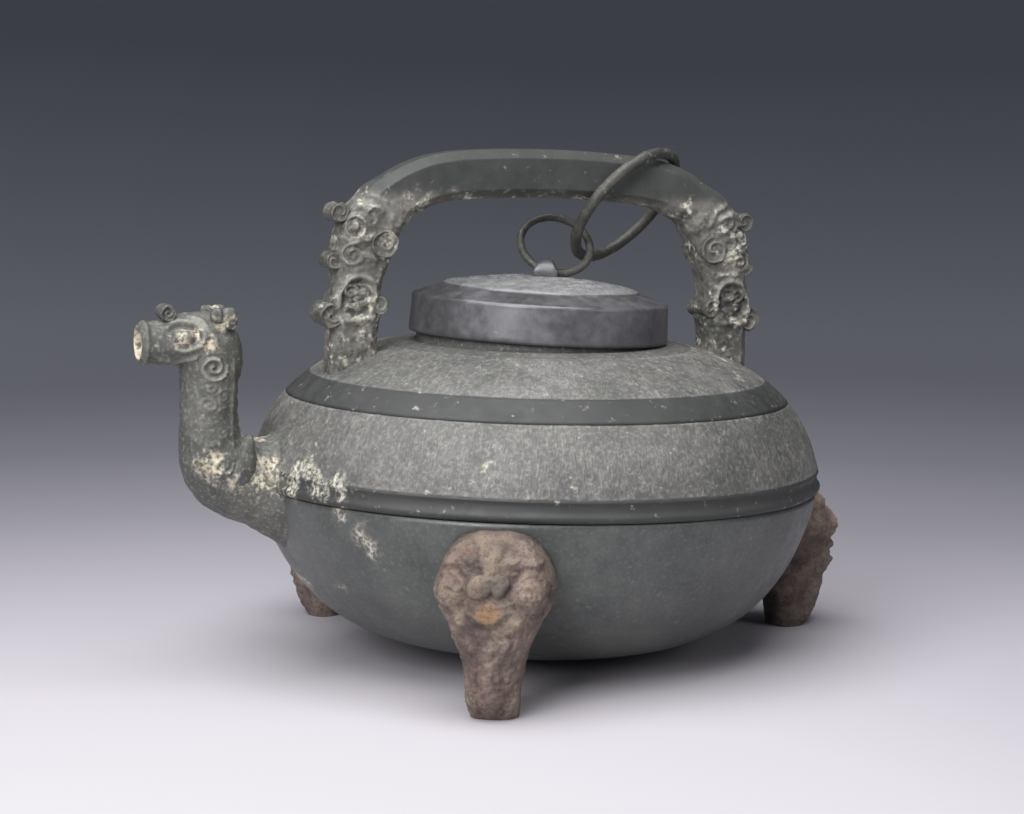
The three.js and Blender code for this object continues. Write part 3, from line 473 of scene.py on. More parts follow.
def register_relief(points, across, up, pitch, rows_high, seed):
    """Register of scrolls in upright panels: scrolls, a thin ridge between panels, and two border lines,
    with the drawing wandering a little and rubbed away in patches."""
    across = across + 0.42 * noise(points, 3.4, seed) + 0.5 * noise(points, 14, seed + 2)
    up = up + 0.42 * noise(points, 3.1, seed + 5)
    pattern = scrolls(across, up, pitch, seed)
    panel = across / (2 * pitch)
    strength = lattice(np.stack([np.round(panel), panel * 0, panel * 0], -1), seed + 6)
    strength = strength * eased(-0.5, 0.5, noise(points, 9, seed + 8))
    bars = ridge(repeated(across, 2 * pitch), 0.42) * (0.5 + 0.9 * strength)
    edges = ridge(up - 0.5, 0.35) + ridge(up - rows_high + 0.5, 0.35)
    inside = between(0.9, rows_high - 0.9, 0.3, up)
    lines = np.clip(np.maximum(pattern, bars) * inside + edges, 0, 1)
    wear = eased(-0.55, 0.1, rough(points, 22, seed + 9))
    eaten = 0.62 + 0.5 * noise(points, 1.3, seed + 11) + 0.35 * noise(points, 3.2, seed + 12)
    return np.clip(lines * (0.5 + 0.5 * wear) * eaten, 0, 1)


def crusts(points, amount, size, seed):
    """Patches of mineral crust, from 0 on clean metal to 1, where layered noise rises past a level."""
    level = rough(points, size, seed) + 0.25 * noise(points, size / 7, seed + 4)
    return eased(0.62 - amount, 0.82 - amount, level)


# Lime that has grown round the spout's root: middle of each patch in the vessel's frame, and its radius
LIME = [(-142.5, -12, 82.2, 10), (-136, -13, 77.5, 8), (-126.0, -20, 76.5, 12), (-122.0, -16, 84.0, 8),
        (-119.0, -28, 80.8, 11), (-113.0, -39, 86.0, 10), (-110.5, -46, 79.0, 9), (-104.5, -58, 79.5, 8),
        (-99.5, -63.5, 63.0, 9), (-96.5, -66.5, 55.0, 8), (-104.0, -58, 70.0, 6), (-155.6, -10, 134.4, 5.5),
        (-146.2, -11, 132.0, 5.5), (-150.5, -11, 137.0, 4), (-141.5, -9, 139.0, 4), (-108, -54, 104, 3.6),
        (-60, -97, 92, 3.2), (-93, -70, 84, 3.4), (-85, -82, 100, 2.6), (-30, -114, 86, 3.0),
        (12, -112, 105, 2.4), (-3, -117, 88, 2.2), (40, -108, 99, 2.2), (-47, -108, 83.5, 3),
        (-97, -55, 113, 2.6)]


def lime_patches(points, seed):
    """Cream lime, from 0 to 1: near each patch's middle, with an edge broken up by three layers of noise."""
    broken = rough(points, 6, seed) * 0.65 + 0.3 * noise(points, 1.7, seed + 5)
    broken += 0.25 * noise(points, 0.8, seed + 6)
    coat = np.zeros(points.shape[:-1])
    for x, y, z, radius in LIME:
        away = np.sqrt(((points - np.array([x, y, z])) ** 2).sum(-1)) / radius
        coat = np.maximum(coat, eased(-0.25, 0.75, 0.72 - away + 1.1 * broken) * (away < 2.2))
    return coat


def revolve_shell(outer, inner, columns):
    """Closed shell of a profile that runs up the outside and back down the inside."""
    points, angles = turned(np.vstack([outer, inner]), columns)
    return points, angles, [grid_faces(len(points), columns, joined_rows=True)]


# Lip and the thin bead above it, outward and upward from the seam
LIP_PROFILE = [(-3.4, -3.2), (-1.5, -2.7), (-0.6, -2.2), (-0.1, -1.4), (0, -0.6), (-0.2, 0.1), (-0.8, 0.8),
               (-1.3, 1.8), (-1.45, 3.2), (-1.4, 4.6), (-0.85, 5.2), (-0.85, 5.6), (-1.3, 6.2)]


def make_lower_register(sizes):
    """Shoulder from the lip up to the smooth band. Rows climb the profile, and the register's relief
    moves each point outwards by its height."""
    columns = 1512
    dense = shoulder_curve(np.linspace(0, 1, SHOULDER_SAMPLES))
    wall, places = even(dense[dense[:, 1] < BAND_FOOT - 0.2], 0.64)
    lip = np.array([SEAM_RADIUS, SEAM_HEIGHT]) + LIP_PROFILE
    back, _ = even(dense[dense[:, 1] < BAND_FOOT - 0.2], 9)
    inside = inward(back, WALL)[::-1]
    points, angles, faces = revolve_shell(np.vstack([lip, wall]), inside, columns)
    rows = slice(len(lip), len(lip) + len(wall))
    face = points[rows]
    across = np.broadcast_to(angles / (2 * np.pi) * LOWER_SCROLLS * SCROLL_PITCH, face.shape[:2])
    up = np.broadcast_to(places[:, None], face.shape[:2])
    relief = np.zeros(points.shape[:2])
    relief[rows] = register_relief(face, across, up, SCROLL_PITCH, places[-1], 3)
    lift = relief * sizes.relief * MILLIMETRES * REGISTER_LIFT
    lime = lime_patches(points, 35)
    crust = np.maximum(crusts(points, 0.05, 26, 31), lime)
    lift += crust * 0.12 * (1 + noise(points, 0.9, 8)) + lime * 0.2 * (1 + noise(points, 1.1, 12))
    uneven = 0.28 * noise(points, 34, 41) * between(0, len(lip) - 1, 3, np.arange(len(points)))[:, None]
    # The profile's first point lies inside, on the bowl's top, and stays level
    uneven[0] = 0
    points[..., 2] += uneven
    points[..., 0] += lift * np.cos(angles)
    points[..., 1] += lift * np.sin(angles)
    points[..., 2] += lift * 0.25
    shells = Shells()
    plain = np.zeros(points.shape[:2])
    plain[: len(lip)] = 1
    shells.add(seated(set_back(points)).reshape(-1, 3), faces, relief=relief, crust=crust, shade=plain)
    return shells


def make_upper_register(sizes):
    """Smooth band, upper register, neck and their inner wall as one closed shell."""
    columns = 1188
    dense = shoulder_curve(np.linspace(0, 1, SHOULDER_SAMPLES))
    band, _ = even(dense[(dense[:, 1] > BAND_FOOT) & (dense[:, 1] < BAND_HEAD)], 1.4)
    field, places = even(dense[dense[:, 1] >= BAND_HEAD], 0.78)
    band[:, 0] += 0.35 * between(0, len(band) - 1, 1, np.arange(len(band)))
    foot_radius = dense[dense[:, 1] > BAND_FOOT][0][0]
    foot = np.array([(foot_radius - 2.0, BAND_FOOT - 1.0), (foot_radius - 0.4, BAND_FOOT - 0.5)])
    neck = np.array([(NECK_RADIUS + 0.8, NECK_BASE_HEIGHT + 0.1), (NECK_RADIUS, NECK_BASE_HEIGHT + 1),
                     (NECK_RADIUS, NECK_TOP - 0.4), (NECK_RADIUS - 0.5, NECK_TOP),
                     (NECK_RADIUS - NECK_WALL + 0.5, NECK_TOP), (NECK_RADIUS - NECK_WALL, NECK_TOP - 0.5),
                     (NECK_RADIUS - NECK_WALL, NECK_BASE_HEIGHT - 1)])
    back, _ = even(dense[(dense[:, 1] > BAND_FOOT) & (dense[:, 0] > 62)], 6)
    inside = inward(back, WALL)[::-1]
    points, angles, faces = revolve_shell(np.vstack([foot, band, field, neck]), inside, columns)
    smooth = len(foot) + len(band)
    rows = slice(smooth, smooth + len(field))
    face = points[rows]
    across = np.broadcast_to(angles / (2 * np.pi) * UPPER_SCROLLS * SCROLL_PITCH, face.shape[:2])
    up = np.broadcast_to(places[:, None], face.shape[:2])
    relief = np.zeros(points.shape[:2])
    relief[rows] = register_relief(face, across, up, SCROLL_PITCH, places[-1] - NECK_BORDER, 17)
    crust = np.maximum(crusts(points, 0.0, 30, 57), lime_patches(points, 59))
    lift = relief * sizes.relief * MILLIMETRES * REGISTER_LIFT
    points[..., 2] += lift + crust * 0.1 * (1 + noise(points, 0.9, 9))
    plain = np.zeros(points.shape[:2])
    plain[:smooth] = 1
    shells = Shells()
    shells.add(seated(points).reshape(-1, 3), faces, relief=relief, crust=crust, shade=plain)
    return shells


def make_bowl():
    """Plain bowl below the lip: the quarter-circle power curve turned round, with a faint raised line."""
    columns = 336
    outer, _ = even(bowl_curve(400), 2.0)
    outer[:, 0] += ridge(outer[:, 1] - BOWL_LINE_HEIGHT, 0.9) * 0.22
    inner, _ = even(inward(bowl_curve(400), WALL), 4)
    inner[0, 0] = 0
    outer = outer[1:]
    inner = inner[1:][::-1]
    points, angles = turned(np.vstack([outer, inner]), columns)
    dents = 0.16 * noise(points, 30, 71) + 0.05 * noise(points, 7, 72)
    points[: len(outer), :, 0] += dents[: len(outer)] * np.cos(angles)
    points[: len(outer), :, 1] += dents[: len(outer)] * np.sin(angles)
    crust = np.maximum(crusts(points, -0.02, 34, 75), lime_patches(points, 77))
    flat, faces = closed_grid(set_back(points))
    shells = Shells()
    shells.add(seated(flat), faces, crust=crust)
    return shells


# Handle

# Half of the arch from its crown to one foot: share of the half span, and drop below the crown
ARCH = [(0, 0), (0.17, 0.2), (0.34, 0.9), (0.5, 2), (0.62, 4), (0.735, 8), (0.83, 13.4), (0.9, 20),
        (0.95, 29), (0.98, 41), (0.995, 54), (1, 68), (1, 86)]

# Half depth and half width of the handle by height above the foot of the head, then its squareness
HANDLE_STATIONS = [(-12, 10, 8.5, 1), (0, 10, 8.5, 1), (3, 10.6, 8.9, 0.4), (9, 11.2, 9.4, 0),
                   (16, 10.2, 9.0, 0), (22, 10.4, 8.9, 0), (30, 12, 9.2, 0), (38, 12.4, 10.2, 0),
                   (45, 11.6, 10, 0.2), (50, 11.2, 9.4, 0.7), (52.5, 10.2, 8.2, 1), (54, 10, 8, 1)]


def upright_place(points):
    """From the handle's own frame to the vessel's: tilted about the neck's foot, then shifted along X."""
    pivot = np.array([0, 0, NECK_BASE_HEIGHT])
    return tilted(points - pivot, HANDLE_TILT) + pivot + np.array([HANDLE_SHIFT, 0, 0])


def handle_line(step_head, step_bar):
    """Middle line of the handle as places and tangents, closer together over the heads."""
    half = np.array([(share * HANDLE_SPAN / 2, HANDLE_CROWN - BAR_HEIGHT / 2 - drop) for share, drop in ARCH])
    knots = np.vstack([(half[1:] * (-1, 1))[::-1], half])
    lengths = np.concatenate([[0], np.cumsum(np.hypot(*np.diff(knots, axis=0).T))])
    stations = np.column_stack([lengths, knots])
    fine = np.linspace(0, lengths[-1], 6000)
    line = along(stations, fine)
    density = np.where(line[:, 1] < HEAD_TOP + 8, 1 / step_head, 1 / step_bar)
    counted = np.concatenate([[0], np.cumsum(0.5 * (density[1:] + density[:-1]) * np.diff(fine))])
    places = np.interp(np.linspace(0, counted[-1], int(counted[-1])), counted, fine)
    middle = along(stations, places)
    tangent = along(stations, places + 0.05) - along(stations, places - 0.05)
    tangent /= np.hypot(tangent[:, 0], tangent[:, 1])[:, None]
    return middle, tangent


def chamfered(columns, half_up, half_across, chamfer):
    """Eight-sided section walked at even steps, for each row's own half sizes."""
    # Each corner's shares of the half sizes, then of the chamfer
    corner = np.array([(1, 1, 0, -1), (1, 1, -1, 0), (-1, 1, 1, 0), (-1, 1, 0, -1),
                       (-1, -1, 0, 1), (-1, -1, 1, 0), (1, -1, -1, 0), (1, -1, 0, 1)], float)
    shares = np.arange(columns) / columns * 8
    first = shares.astype(int) % 8
    part = shares - np.floor(shares)

    def place(k):
        up = corner[k, 0] * half_up + corner[k, 2] * chamfer
        return up, corner[k, 1] * half_across + corner[k, 3] * chamfer

    (up_a, across_a), (up_b, across_b) = place(first), place((first + 1) % 8)
    return up_a + (up_b - up_a) * part, across_a + (across_b - across_a) * part


def head_relief(u, h, y):
    """Raised and sunk forms of one animal head, in millimetres, by the distance out from the leg's middle,
    the height above the head's foot and the place across: brow, eye, cheek, jaw, open mouth and lips."""
    side = eased(4.5, 7.5, np.abs(y))
    # Eye in a ring
    eye = np.hypot((u - 2.6) / 0.82, h - 40.6)
    rise = 2.1 * (1 - eased(0, 3.1, eye)) + 1.2 * ridge(eye - 4.4, 0.8)
    rise -= 0.9 * (1 - eased(3.0, 3.8, np.abs(eye - 3.0) + 2.4))
    # Brow, the ear's fold and a small spiral behind the eye
    rise += 1.7 * ridge(to_line(u, h, [(-7.5, 47.5), (-1, 50.0), (5.5, 48.2), (8.8, 43)]), 1.5)
    rise += 1.2 * ridge(to_line(u, h, [(-12.5, 44), (-9.5, 50.5), (-4, 54)]), 1.1)
    rise += 1.0 * ridge(to_spiral(u + 4.4, h - 45.6, 3.6, 1.3, 0.6), 0.7)
    # Line below the eye, cheek spiral and hook of the jaw
    rise += 1.1 * ridge(to_line(u, h, [(-2.5, 36), (3.5, 34), (8, 36.5), (10.5, 40)]), 0.8)
    rise += 1.3 * ridge(to_spiral(u - 3.2, h - 29.2, 4.2, 1.6, 2.2), 0.75)
    rise += 1.0 * ridge(to_line(u, h, [(-6.5, 27), (-2.5, 31), (-3.0, 24), (1.5, 23.5)]), 0.9)
    # Lip round the open mouth, which is sunk and holds two coils and a lower lip
    mouth = [(9.0, 8.0), (8.4, 13.0), (4.4, 19.4), (-1.8, 21.4), (-6.6, 17.6), (-7.2, 12.6), (-4.0, 10.5)]
    rise += 1.7 * ridge(to_line(u, h, mouth), 1.15)
    inside = 1 - eased(5.6, 7.4, np.hypot(u - 0.6, (h - 11.6) * 0.85))
    rise -= 1.9 * inside
    rise += 1.7 * inside * ridge(to_spiral(u - 3.4, h - 14.2, 3.0, 1.25, 0.4), 0.65)
    rise += 1.7 * inside * ridge(to_spiral(u + 1.6, h - 14.6, 2.8, 1.25, 2.6, True), 0.65)
    rise += 1.5 * inside * ridge(to_line(u, h, [(3.6, 9.6), (0.5, 7.4), (-2.8, 9.2)]), 0.7)
    # Band at the head's foot and edge of the upper lip
    rise += 1.2 * ridge(to_line(u, h, [(8.0, 3.2), (2, 2.4), (-5.5, 3.4)]), 1.5)
    rise += 0.8 * ridge(to_line(u, h, [(10.4, 12), (11.2, 17.5), (9.6, 22.5)]), 1.2)
    # Cross ribs and a keel down the front
    front = (1 - side) * eased(6, 9, u)
    strips = 0.45 * ridge(repeated(h, 2.6), 0.5) * between(28, 41, 1, h)
    return rise * side + front * (strips + 0.9 * ridge(y, 1.1) * between(29, 44, 2, h))


def drum(centre, radius, half_width, dish, turns, start, mirrored):
    """Rolled curl across the head: a short drum whose two ends are dished and carry a spiral ridge. Gives its
    points and faces, the ridge and the crust."""
    columns = 48
    ends = np.linspace(0.06, 1, 15) * radius
    rim = [(radius + 0.22, -half_width + 0.5), (radius + 0.3, -half_width + 1.2),
           (radius + 0.05, -half_width + 2.4), (radius, 0), (radius + 0.05, half_width - 2.4),
           (radius + 0.3, half_width - 1.2), (radius + 0.22, half_width - 0.5)]
    sink = dish * (1 - (ends / radius) ** 4)
    near = [(r, -half_width + d) for r, d in zip(ends, sink)]
    far = [(r, half_width - d) for r, d in zip(ends[::-1], sink[::-1])]
    profile = np.array(near + rim + far)
    angles = whole_turn(columns)
    x = profile[:, :1] * np.cos(angles)
    z = profile[:, :1] * np.sin(angles)
    y = np.repeat(profile[:, 1:], columns, 1)
    coil = ridge(to_spiral(x, z, radius * 0.95, turns, start, mirrored), radius * 0.15)
    coil *= np.abs(profile[:, :1]) < radius
    y = y + np.sign(y) * coil * dish * 0.95
    points = np.stack([x + centre[0], y, z + centre[1]], -1)
    crust = crusts(points, 0.3, 8, 91)
    eaten = 0.4 * noise(points, 2.4, 93) * eased(0.2, 0.9, np.abs(profile[:, :1]) / radius)
    points[..., 0] += eaten * np.cos(angles)
    points[..., 2] += eaten * np.sin(angles)
    return closed_grid(points), coil * 0.6, crust


def handle_tube(columns):
    """Bare tube of the handle along its middle line, whose section goes from the leg's chamfered square
    through the head's rounded one to the bar's. Gives its points, each one's place up and across the section,
    the sections' half widths, and the line's places and tangents."""
    middle, tangent = handle_line(0.5, 1.7)
    half_up, half_across, square = along(HANDLE_STATIONS, middle[:, 1] - HEAD_FOOT).T
    chamfer = BAR_CHAMFER * np.minimum(half_across / (BAR_WIDTH / 2), 1.25)
    half_up, half_across = half_up[:, None], half_across[:, None]
    up, across = chamfered(columns, half_up, half_across, chamfer[:, None])
    turn = np.arctan2(across / half_across, up / half_up)
    power = 2 / 3.4
    share = np.clip(square, 0, 1)[:, None]
    up = up * share + squared(np.cos(turn), power) * half_up * (1 - share)
    across = across * share + squared(np.sin(turn), power) * half_across * (1 - share)
    x = middle[:, :1] - tangent[:, 1:] * up
    z = middle[:, 1:] + tangent[:, :1] * up
    return np.stack([x, across, z], -1), up, across, half_across, middle, tangent


def head_curls(end):
    """Rolled curls of the head at one end of the handle, -1 or 1."""
    deep, wide = HEAD_DEPTH / 2, HEAD_WIDTH / 2
    # On the rear foot's side the curls of the outer face sit a little further in
    inner = 0.0 if end < 0 else 0.9
    # Each curl's place outward and upward, radius, half width, dish, turns and start
    curls = [(deep - 1.9 - inner, 4.6, 4.8, wide - 2.6, 1.1, 1.1, 1.2),
             (3.4 - deep, 9.0, 3.5, wide - 1.6, 0.6, 0.7, 2.6),
             (2.6 - deep, 34.2, 5.6, wide + 0.2, 1.2, 1.0, 2.2),
             (deep - 2.9 - 2 * inner, 26.5, 3.2, wide - 4.4, 0.6, 0.8, 0),
             (deep - 4.4 - 2 * inner, 46.2, 3.6, wide - 4.2, 0.8, 0.9, 3.4)]
    for out, height, radius, half_width, dish, turns, start in curls:
        place = (end * (HANDLE_SPAN / 2 + out), HEAD_FOOT + height)
        first = start if end < 0 else np.pi - start
        yield drum(place, radius, half_width, dish, turns, first, end > 0)


def make_handle():
    """Arched bar with an animal head on each end: one tube with relief on the heads' sides, raised by moving
    each point across or along its section, and a drum for each rolled curl."""
    points, up, across, half_across, middle, tangent = handle_tube(164)
    outward = np.sign(middle[:, :1])
    u = points[..., 0] * outward - HANDLE_SPAN / 2
    h = points[..., 2] - HEAD_FOOT
    rise = head_relief(u, h, across) * eased(0.5, 2.5, h) * (1 - eased(53, 56, h)) * (u < 14)
    rise *= eased(55, 75, middle[:, :1] * outward)
    rise *= 0.9 + 0.35 * noise(points, 2.2, 80)
    hollow = eased(0.2, 1.4, np.abs(np.gradient(rise, axis=0)) * 6) * eased(-0.3, 0.3, noise(points, 5, 90))
    spots = eased(0.0, 0.45, rough(points, 2.4, 83)) * eased(-0.4, 0.2, noise(points, 10, 84))
    crust = np.maximum(spots, hollow * 0.5 * (0.5 + noise(points, 1.8, 82))) * (1 - eased(52, 60, h))
    crust = crust + crusts(points, -0.16, 24, 85) * eased(52, 60, h)
    old = 1 - eased(50, 58, h)
    uneven = 0.45 * noise(points, 3.4, 89) + 0.36 * noise(points, 1.5, 86)
    pitted = 0.25 * crust * (0.5 + noise(points, 1.1, 87)) + old * uneven + 0.05 * noise(points, 5, 88)
    sideways = eased(0.35, 0.75, np.abs(across) / half_across)
    push = (rise + pitted) * (1 - sideways) * np.sign(up)
    points[..., 1] += np.sign(across) * (rise + pitted) * sideways
    points[..., 0] -= tangent[:, 1:] * push
    points[..., 2] += tangent[:, :1] * push
    shells = Shells()

    def put(shape, relief, crust, shade):
        placed, faces = above_body(upright_place(shape[0]), 0.6), shape[1]
        shells.add(seated(placed), faces, relief=relief, crust=crust, shade=shade)

    eaten = 0.3 * eased(0.0, 0.7, noise(points, 2.6, 81)) * old
    put(closed_grid(points), np.clip(0.45 + rise / 3 - eaten, 0, 1), crust, old)
    for end in (-1, 1):
        for curl, coil, coat in head_curls(end):
            put(curl, 0.3 + 0.6 * coil, coat, np.ones_like(coat))
    return shells


# Spout

# Middle line and half sizes from the body out to the mouth: x, z, half depth in the plane, half width
SPOUT_STATIONS = [(0, -108.0, 73.6, 25.5, 24.0), (8, -116.0, 74.4, 21.4, 20.4),
                  (14, -121.5, 75.2, 18.6, 16.8), (20, -127.6, 76.4, 17.1, 14.8),
                  (27, -134.2, 79.6, 16.3, 13.6), (34, -138.8, 84.8, 15.0, 12.6),
                  (42, -141.2, 91.6, 12.9, 11.6), (50, -142.0, 99.6, 11.7, 11.2),
                  (62, -142.2, 111.4, 11.5, 11.2), (70, -142.2, 119.0, 12.0, 11.6),
                  (77, -142.0, 126.0, 13.4, 12.2), (84, -144.4, 131.6, 13.0, 12.4),
                  (92, -151.6, 133.0, 10.8, 11.6), (101, -160.4, 132.3, 9.2, 9.7),
                  (108, -167.4, 132.2, 8.3, 8.6), (110.5, -169.9, 132.3, 8.1, 8.3),
                  (112, -171.3, 132.3, 7.3, 7.5)]


def spout_relief(x, z, y):
    """Forms of the spout's head and root by their place in the side view, in millimetres: eye, brow, cheek
    spiral, lip, mouth rim, mane of beads, neck scrolls and a leaf over the root."""
    side = eased(3.0, 7.0, np.abs(y))
    # Eye in its rings, and the brow
    eye = np.hypot((x + 155.4) / 1.5, z - 135.4)
    rise = 1.5 * (1 - eased(0, 3.4, eye)) * side - 0.9 * ridge(eye - 3.9, 0.8) * side
    rise += 1.5 * ridge(eye - 5.4, 0.95) * side * eased(-160.5, -157, x + 0.3 * (z - 135))
    brow = [(-163, 141.6), (-155, 144.4), (-147.5, 140.6), (-143, 134)]
    rise += 1.6 * ridge(to_line(x, z, brow), 1.3) * side
    # Cheek spiral, lip and the ear's fold
    rise += 1.5 * ridge(to_spiral(x + 143.2, z - 123.2, 4.6, 1.5, 0.9), 0.85) * side
    rise += 1.0 * ridge(to_line(x, z, [(-150, 127), (-157, 125), (-164, 126.5)]), 0.9) * side
    rise += 1.3 * ridge(to_line(x, z, [(-139, 138), (-137.2, 143), (-141.5, 144.6)]), 1.2) * side
    # Rim of the mouth
    rise += 0.7 * ridge(to_line(x, z, [(-169.2, 122), (-169.2, 142)]), 0.9)
    # Mane of beads up the back of the neck, and a line beside it
    beads = ridge(repeated(z - 85, SPOUT_BEAD_PITCH), 2.0) * between(88, 126, 3, z)
    rise += 0.7 * ridge(x + 130.6 - 0.4 * np.abs(y), 1.8) * beads
    rise += 0.6 * ridge(x + 134.8, 0.8) * between(92, 124, 3, z) * side
    # Two rows of scrolls up the neck, set between one another and rubbed away in patches
    swirl = to_spiral(x + 144.5, repeated(z - 93, SPOUT_SCROLL_PITCH), 3.3, 1.3, 0.7)
    rubbed = side * eased(-0.4, 0.4, noise(np.stack([x, y, z], -1), 6, 107))
    rise += 0.5 * ridge(swirl, 0.8) * between(92, 118, 2, z) * rubbed
    between_swirls = repeated(z - 93 - SPOUT_SCROLL_PITCH / 2, SPOUT_SCROLL_PITCH)
    net = to_spiral(x + 138.6, between_swirls, 2.6, 1.2, 3.0, True)
    rise += 0.45 * ridge(net, 0.7) * between(90, 120, 2, z) * rubbed
    # Leaf and spiral over the root
    leaf = [(-136, 74), (-131.5, 84), (-129, 96), (-125.5, 88), (-121, 78)]
    rise += 1.5 * ridge(to_line(x, z, leaf), 1.2) * side
    rise += 0.9 * ridge(to_spiral(x + 139, z - 84, 3.4, 1.3, 2.4), 0.8) * side
    return rise


def bore_line(count):
    """Middle line of the bore back from the mouth to the root, round two parabolic bends."""
    def bend(a, corner, b, steps):
        t = np.linspace(0, 1, steps)[:, None]
        return (1 - t) ** 2 * np.array(a) + 2 * t * (1 - t) * np.array(corner) + t * t * np.array(b)

    neck, mouth_z, root_z, turn = SPOUT_NECK_X, SPOUT_MOUTH_HEIGHT, SPOUT_ROOT_HEIGHT, SPOUT_ELBOW_RADIUS
    upper = bend((neck - turn, mouth_z), (neck, mouth_z), (neck, mouth_z - turn), count)
    lower = bend((neck, root_z + turn), (neck, root_z), (neck + turn, root_z), count)
    mouth = [(SPOUT_MOUTH_X + 0.4, mouth_z), (SPOUT_MOUTH_X + 4, mouth_z)]
    root = [(neck + 18, root_z), (neck + 34, root_z)]
    return np.vstack([mouth, upper, lower, root])


def tube(line, half_up, half_across, columns):
    """Sections across a line in the XZ plane, each an ellipse with the given half sizes."""
    tangent = np.gradient(line, axis=0)
    tangent /= np.hypot(tangent[:, 0], tangent[:, 1])[:, None]
    angles = whole_turn(columns)
    c = np.cos(angles)[None, :] * half_up[:, None]
    s = np.sin(angles)[None, :] * half_across[:, None]
    return np.stack([line[:, :1] + tangent[:, 1:] * c, s, line[:, 1:] - tangent[:, :1] * c], -1)


def pebble(centre, half_sizes, seed, taper=0.0, lean=0.0):
    """Blunt form with its own three half sizes: a squared ball stretched along each axis, narrowed upward by
    the taper, leant along X and roughened."""
    rows, columns = 22, 32
    rise = np.linspace(-0.98, 0.98, rows) * np.pi / 2
    turn = whole_turn(columns)
    c = np.cos(rise)[:, None]
    ball = np.stack([c * np.cos(turn), c * np.sin(turn), np.repeat(np.sin(rise)[:, None], columns, 1)], -1)
    ball = squared(ball, 0.75)
    grown = ball * np.array(half_sizes)
    grown[..., 0] = grown[..., 0] * (1 - taper * ball[..., 2]) + lean * grown[..., 2]
    grown = grown + np.array(centre)
    crust = crusts(grown, 0.3, 8, seed)
    grown = grown + ball * (0.2 * crust * noise(grown, 1.2, seed + 1))[..., None]
    points, faces = closed_grid(grown)
    return points, faces, crust


def spout_forms():
    """Forms that stand on the spout: a curl on the nose, and on each side an ear and an upright leaf. Gives
    the points, faces, relief and crust of each."""
    nose = (SPOUT_MOUTH_X + 11.4, SPOUT_MOUTH_HEIGHT + 12)
    curl, coil, coat = drum(nose, radius=3.1, half_width=4.6, dish=0.9, turns=1.3, start=1.0, mirrored=False)
    yield *curl, coil, coat
    for side in (-1, 1):
        for out, across, up, half_sizes in SPOUT_EAR:
            place = (SPOUT_NECK_X + out, side * across, SPOUT_MOUTH_HEIGHT + up)
            points, faces, coat = pebble(place, half_sizes, 113)
            yield points, faces, None, coat
        place = (SPOUT_LEAF_X, side * SPOUT_LEAF_ACROSS, SPOUT_LEAF_HEIGHT)
        points, faces, coat = pebble(place, SPOUT_LEAF_HALF_SIZES, 115, taper=0.45, lean=0.14)
        yield points, faces, None, coat


def make_spout():
    """Spout with its bore: one closed tube that goes out along the outside and back down the inside, with
    the head's forms raised along its own normals, a curl on the nose, and an ear and a leaf on each side."""
    columns = 150
    places = np.linspace(0, SPOUT_LENGTH, 250)
    x, z, half_up, half_across = along(SPOUT_STATIONS, places).T
    outside = tube(np.column_stack([x, z]), half_up, half_across, columns)
    inner_line = bore_line(12)
    inner = np.full(len(inner_line), SPOUT_BORE_RADIUS)
    inside = tube(inner_line, -inner, inner, columns)
    across = np.gradient(outside, axis=1)
    lengthwise = np.gradient(outside, axis=0)
    normal = np.cross(lengthwise, across)
    normal /= np.maximum(np.linalg.norm(normal, axis=-1, keepdims=True), 1e-9)
    middle = np.stack([x, np.zeros_like(x), z], -1)[:, None, :]
    normal *= np.sign(np.sum(normal * (outside - middle), -1, keepdims=True))
    rise = spout_relief(outside[..., 0], outside[..., 2], outside[..., 1]) * eased(2, 12, places)[:, None]
    crust = np.maximum(crusts(outside, 0.08, 15, 101), lime_patches(outside, 105))
    lump = 0.16 * crust * (0.6 + noise(outside, 1.2, 103)) + 0.4 * noise(outside, 5, 104)
    lump += 0.16 * noise(outside, 1.7, 106)
    lump *= 1 - eased(SPOUT_LENGTH - 4, SPOUT_LENGTH, places)[:, None]
    outside = outside + normal * (rise + lump)[..., None]
    outside[..., 0] = np.maximum(outside[..., 0], SPOUT_MOUTH_X)
    whole = np.vstack([outside, inside])
    depth = np.concatenate([places, np.zeros(len(inner_line))])
    placed = clear_of_body(whole, CLEARANCE - 1.5 * (1 - eased(0, 9, depth))[:, None])
    shells = Shells()
    relief = np.vstack([np.clip(rise / 1.6, 0, 1), np.zeros(inside.shape[:2])])
    lined = (1 - eased(-150, -140, inside[..., 0])) * (inside[..., 2] > 110)
    coated = np.vstack([crust, lined])
    shells.add(seated(placed).reshape(-1, 3), [grid_faces(len(whole), columns, joined_rows=True)],
               relief=relief, crust=coated)
    for flat, faces, coil, coat in spout_forms():
        shells.add(seated(flat), faces, relief=coil, crust=coat)
    return shells


# Lid and rings


def lid_place(points):
    """From the lid's own frame, whose zero height is its skirt's foot, to the vessel's."""
    return tilted(points, LID_TILT) + np.array([0, 0, LID_SKIRT_FOOT])


def lid_heights():
    """Heights of the lid's shoulder, border top, field edge and crown above the skirt's foot."""
    border = LID_SKIRT_HEIGHT + LID_BORDER_RISE
    return LID_SKIRT_HEIGHT, border, border + LID_FIELD_STEP, border + LID_FIELD_STEP + LID_DOME


def knob_hole():
    """Middle of the knob's hole in the lid's own frame."""
    return np.array([KNOB_PLACE, 0.0, lid_heights()[3] + KNOB_HOLE_RADIUS - KNOB_HOLE_DIP])


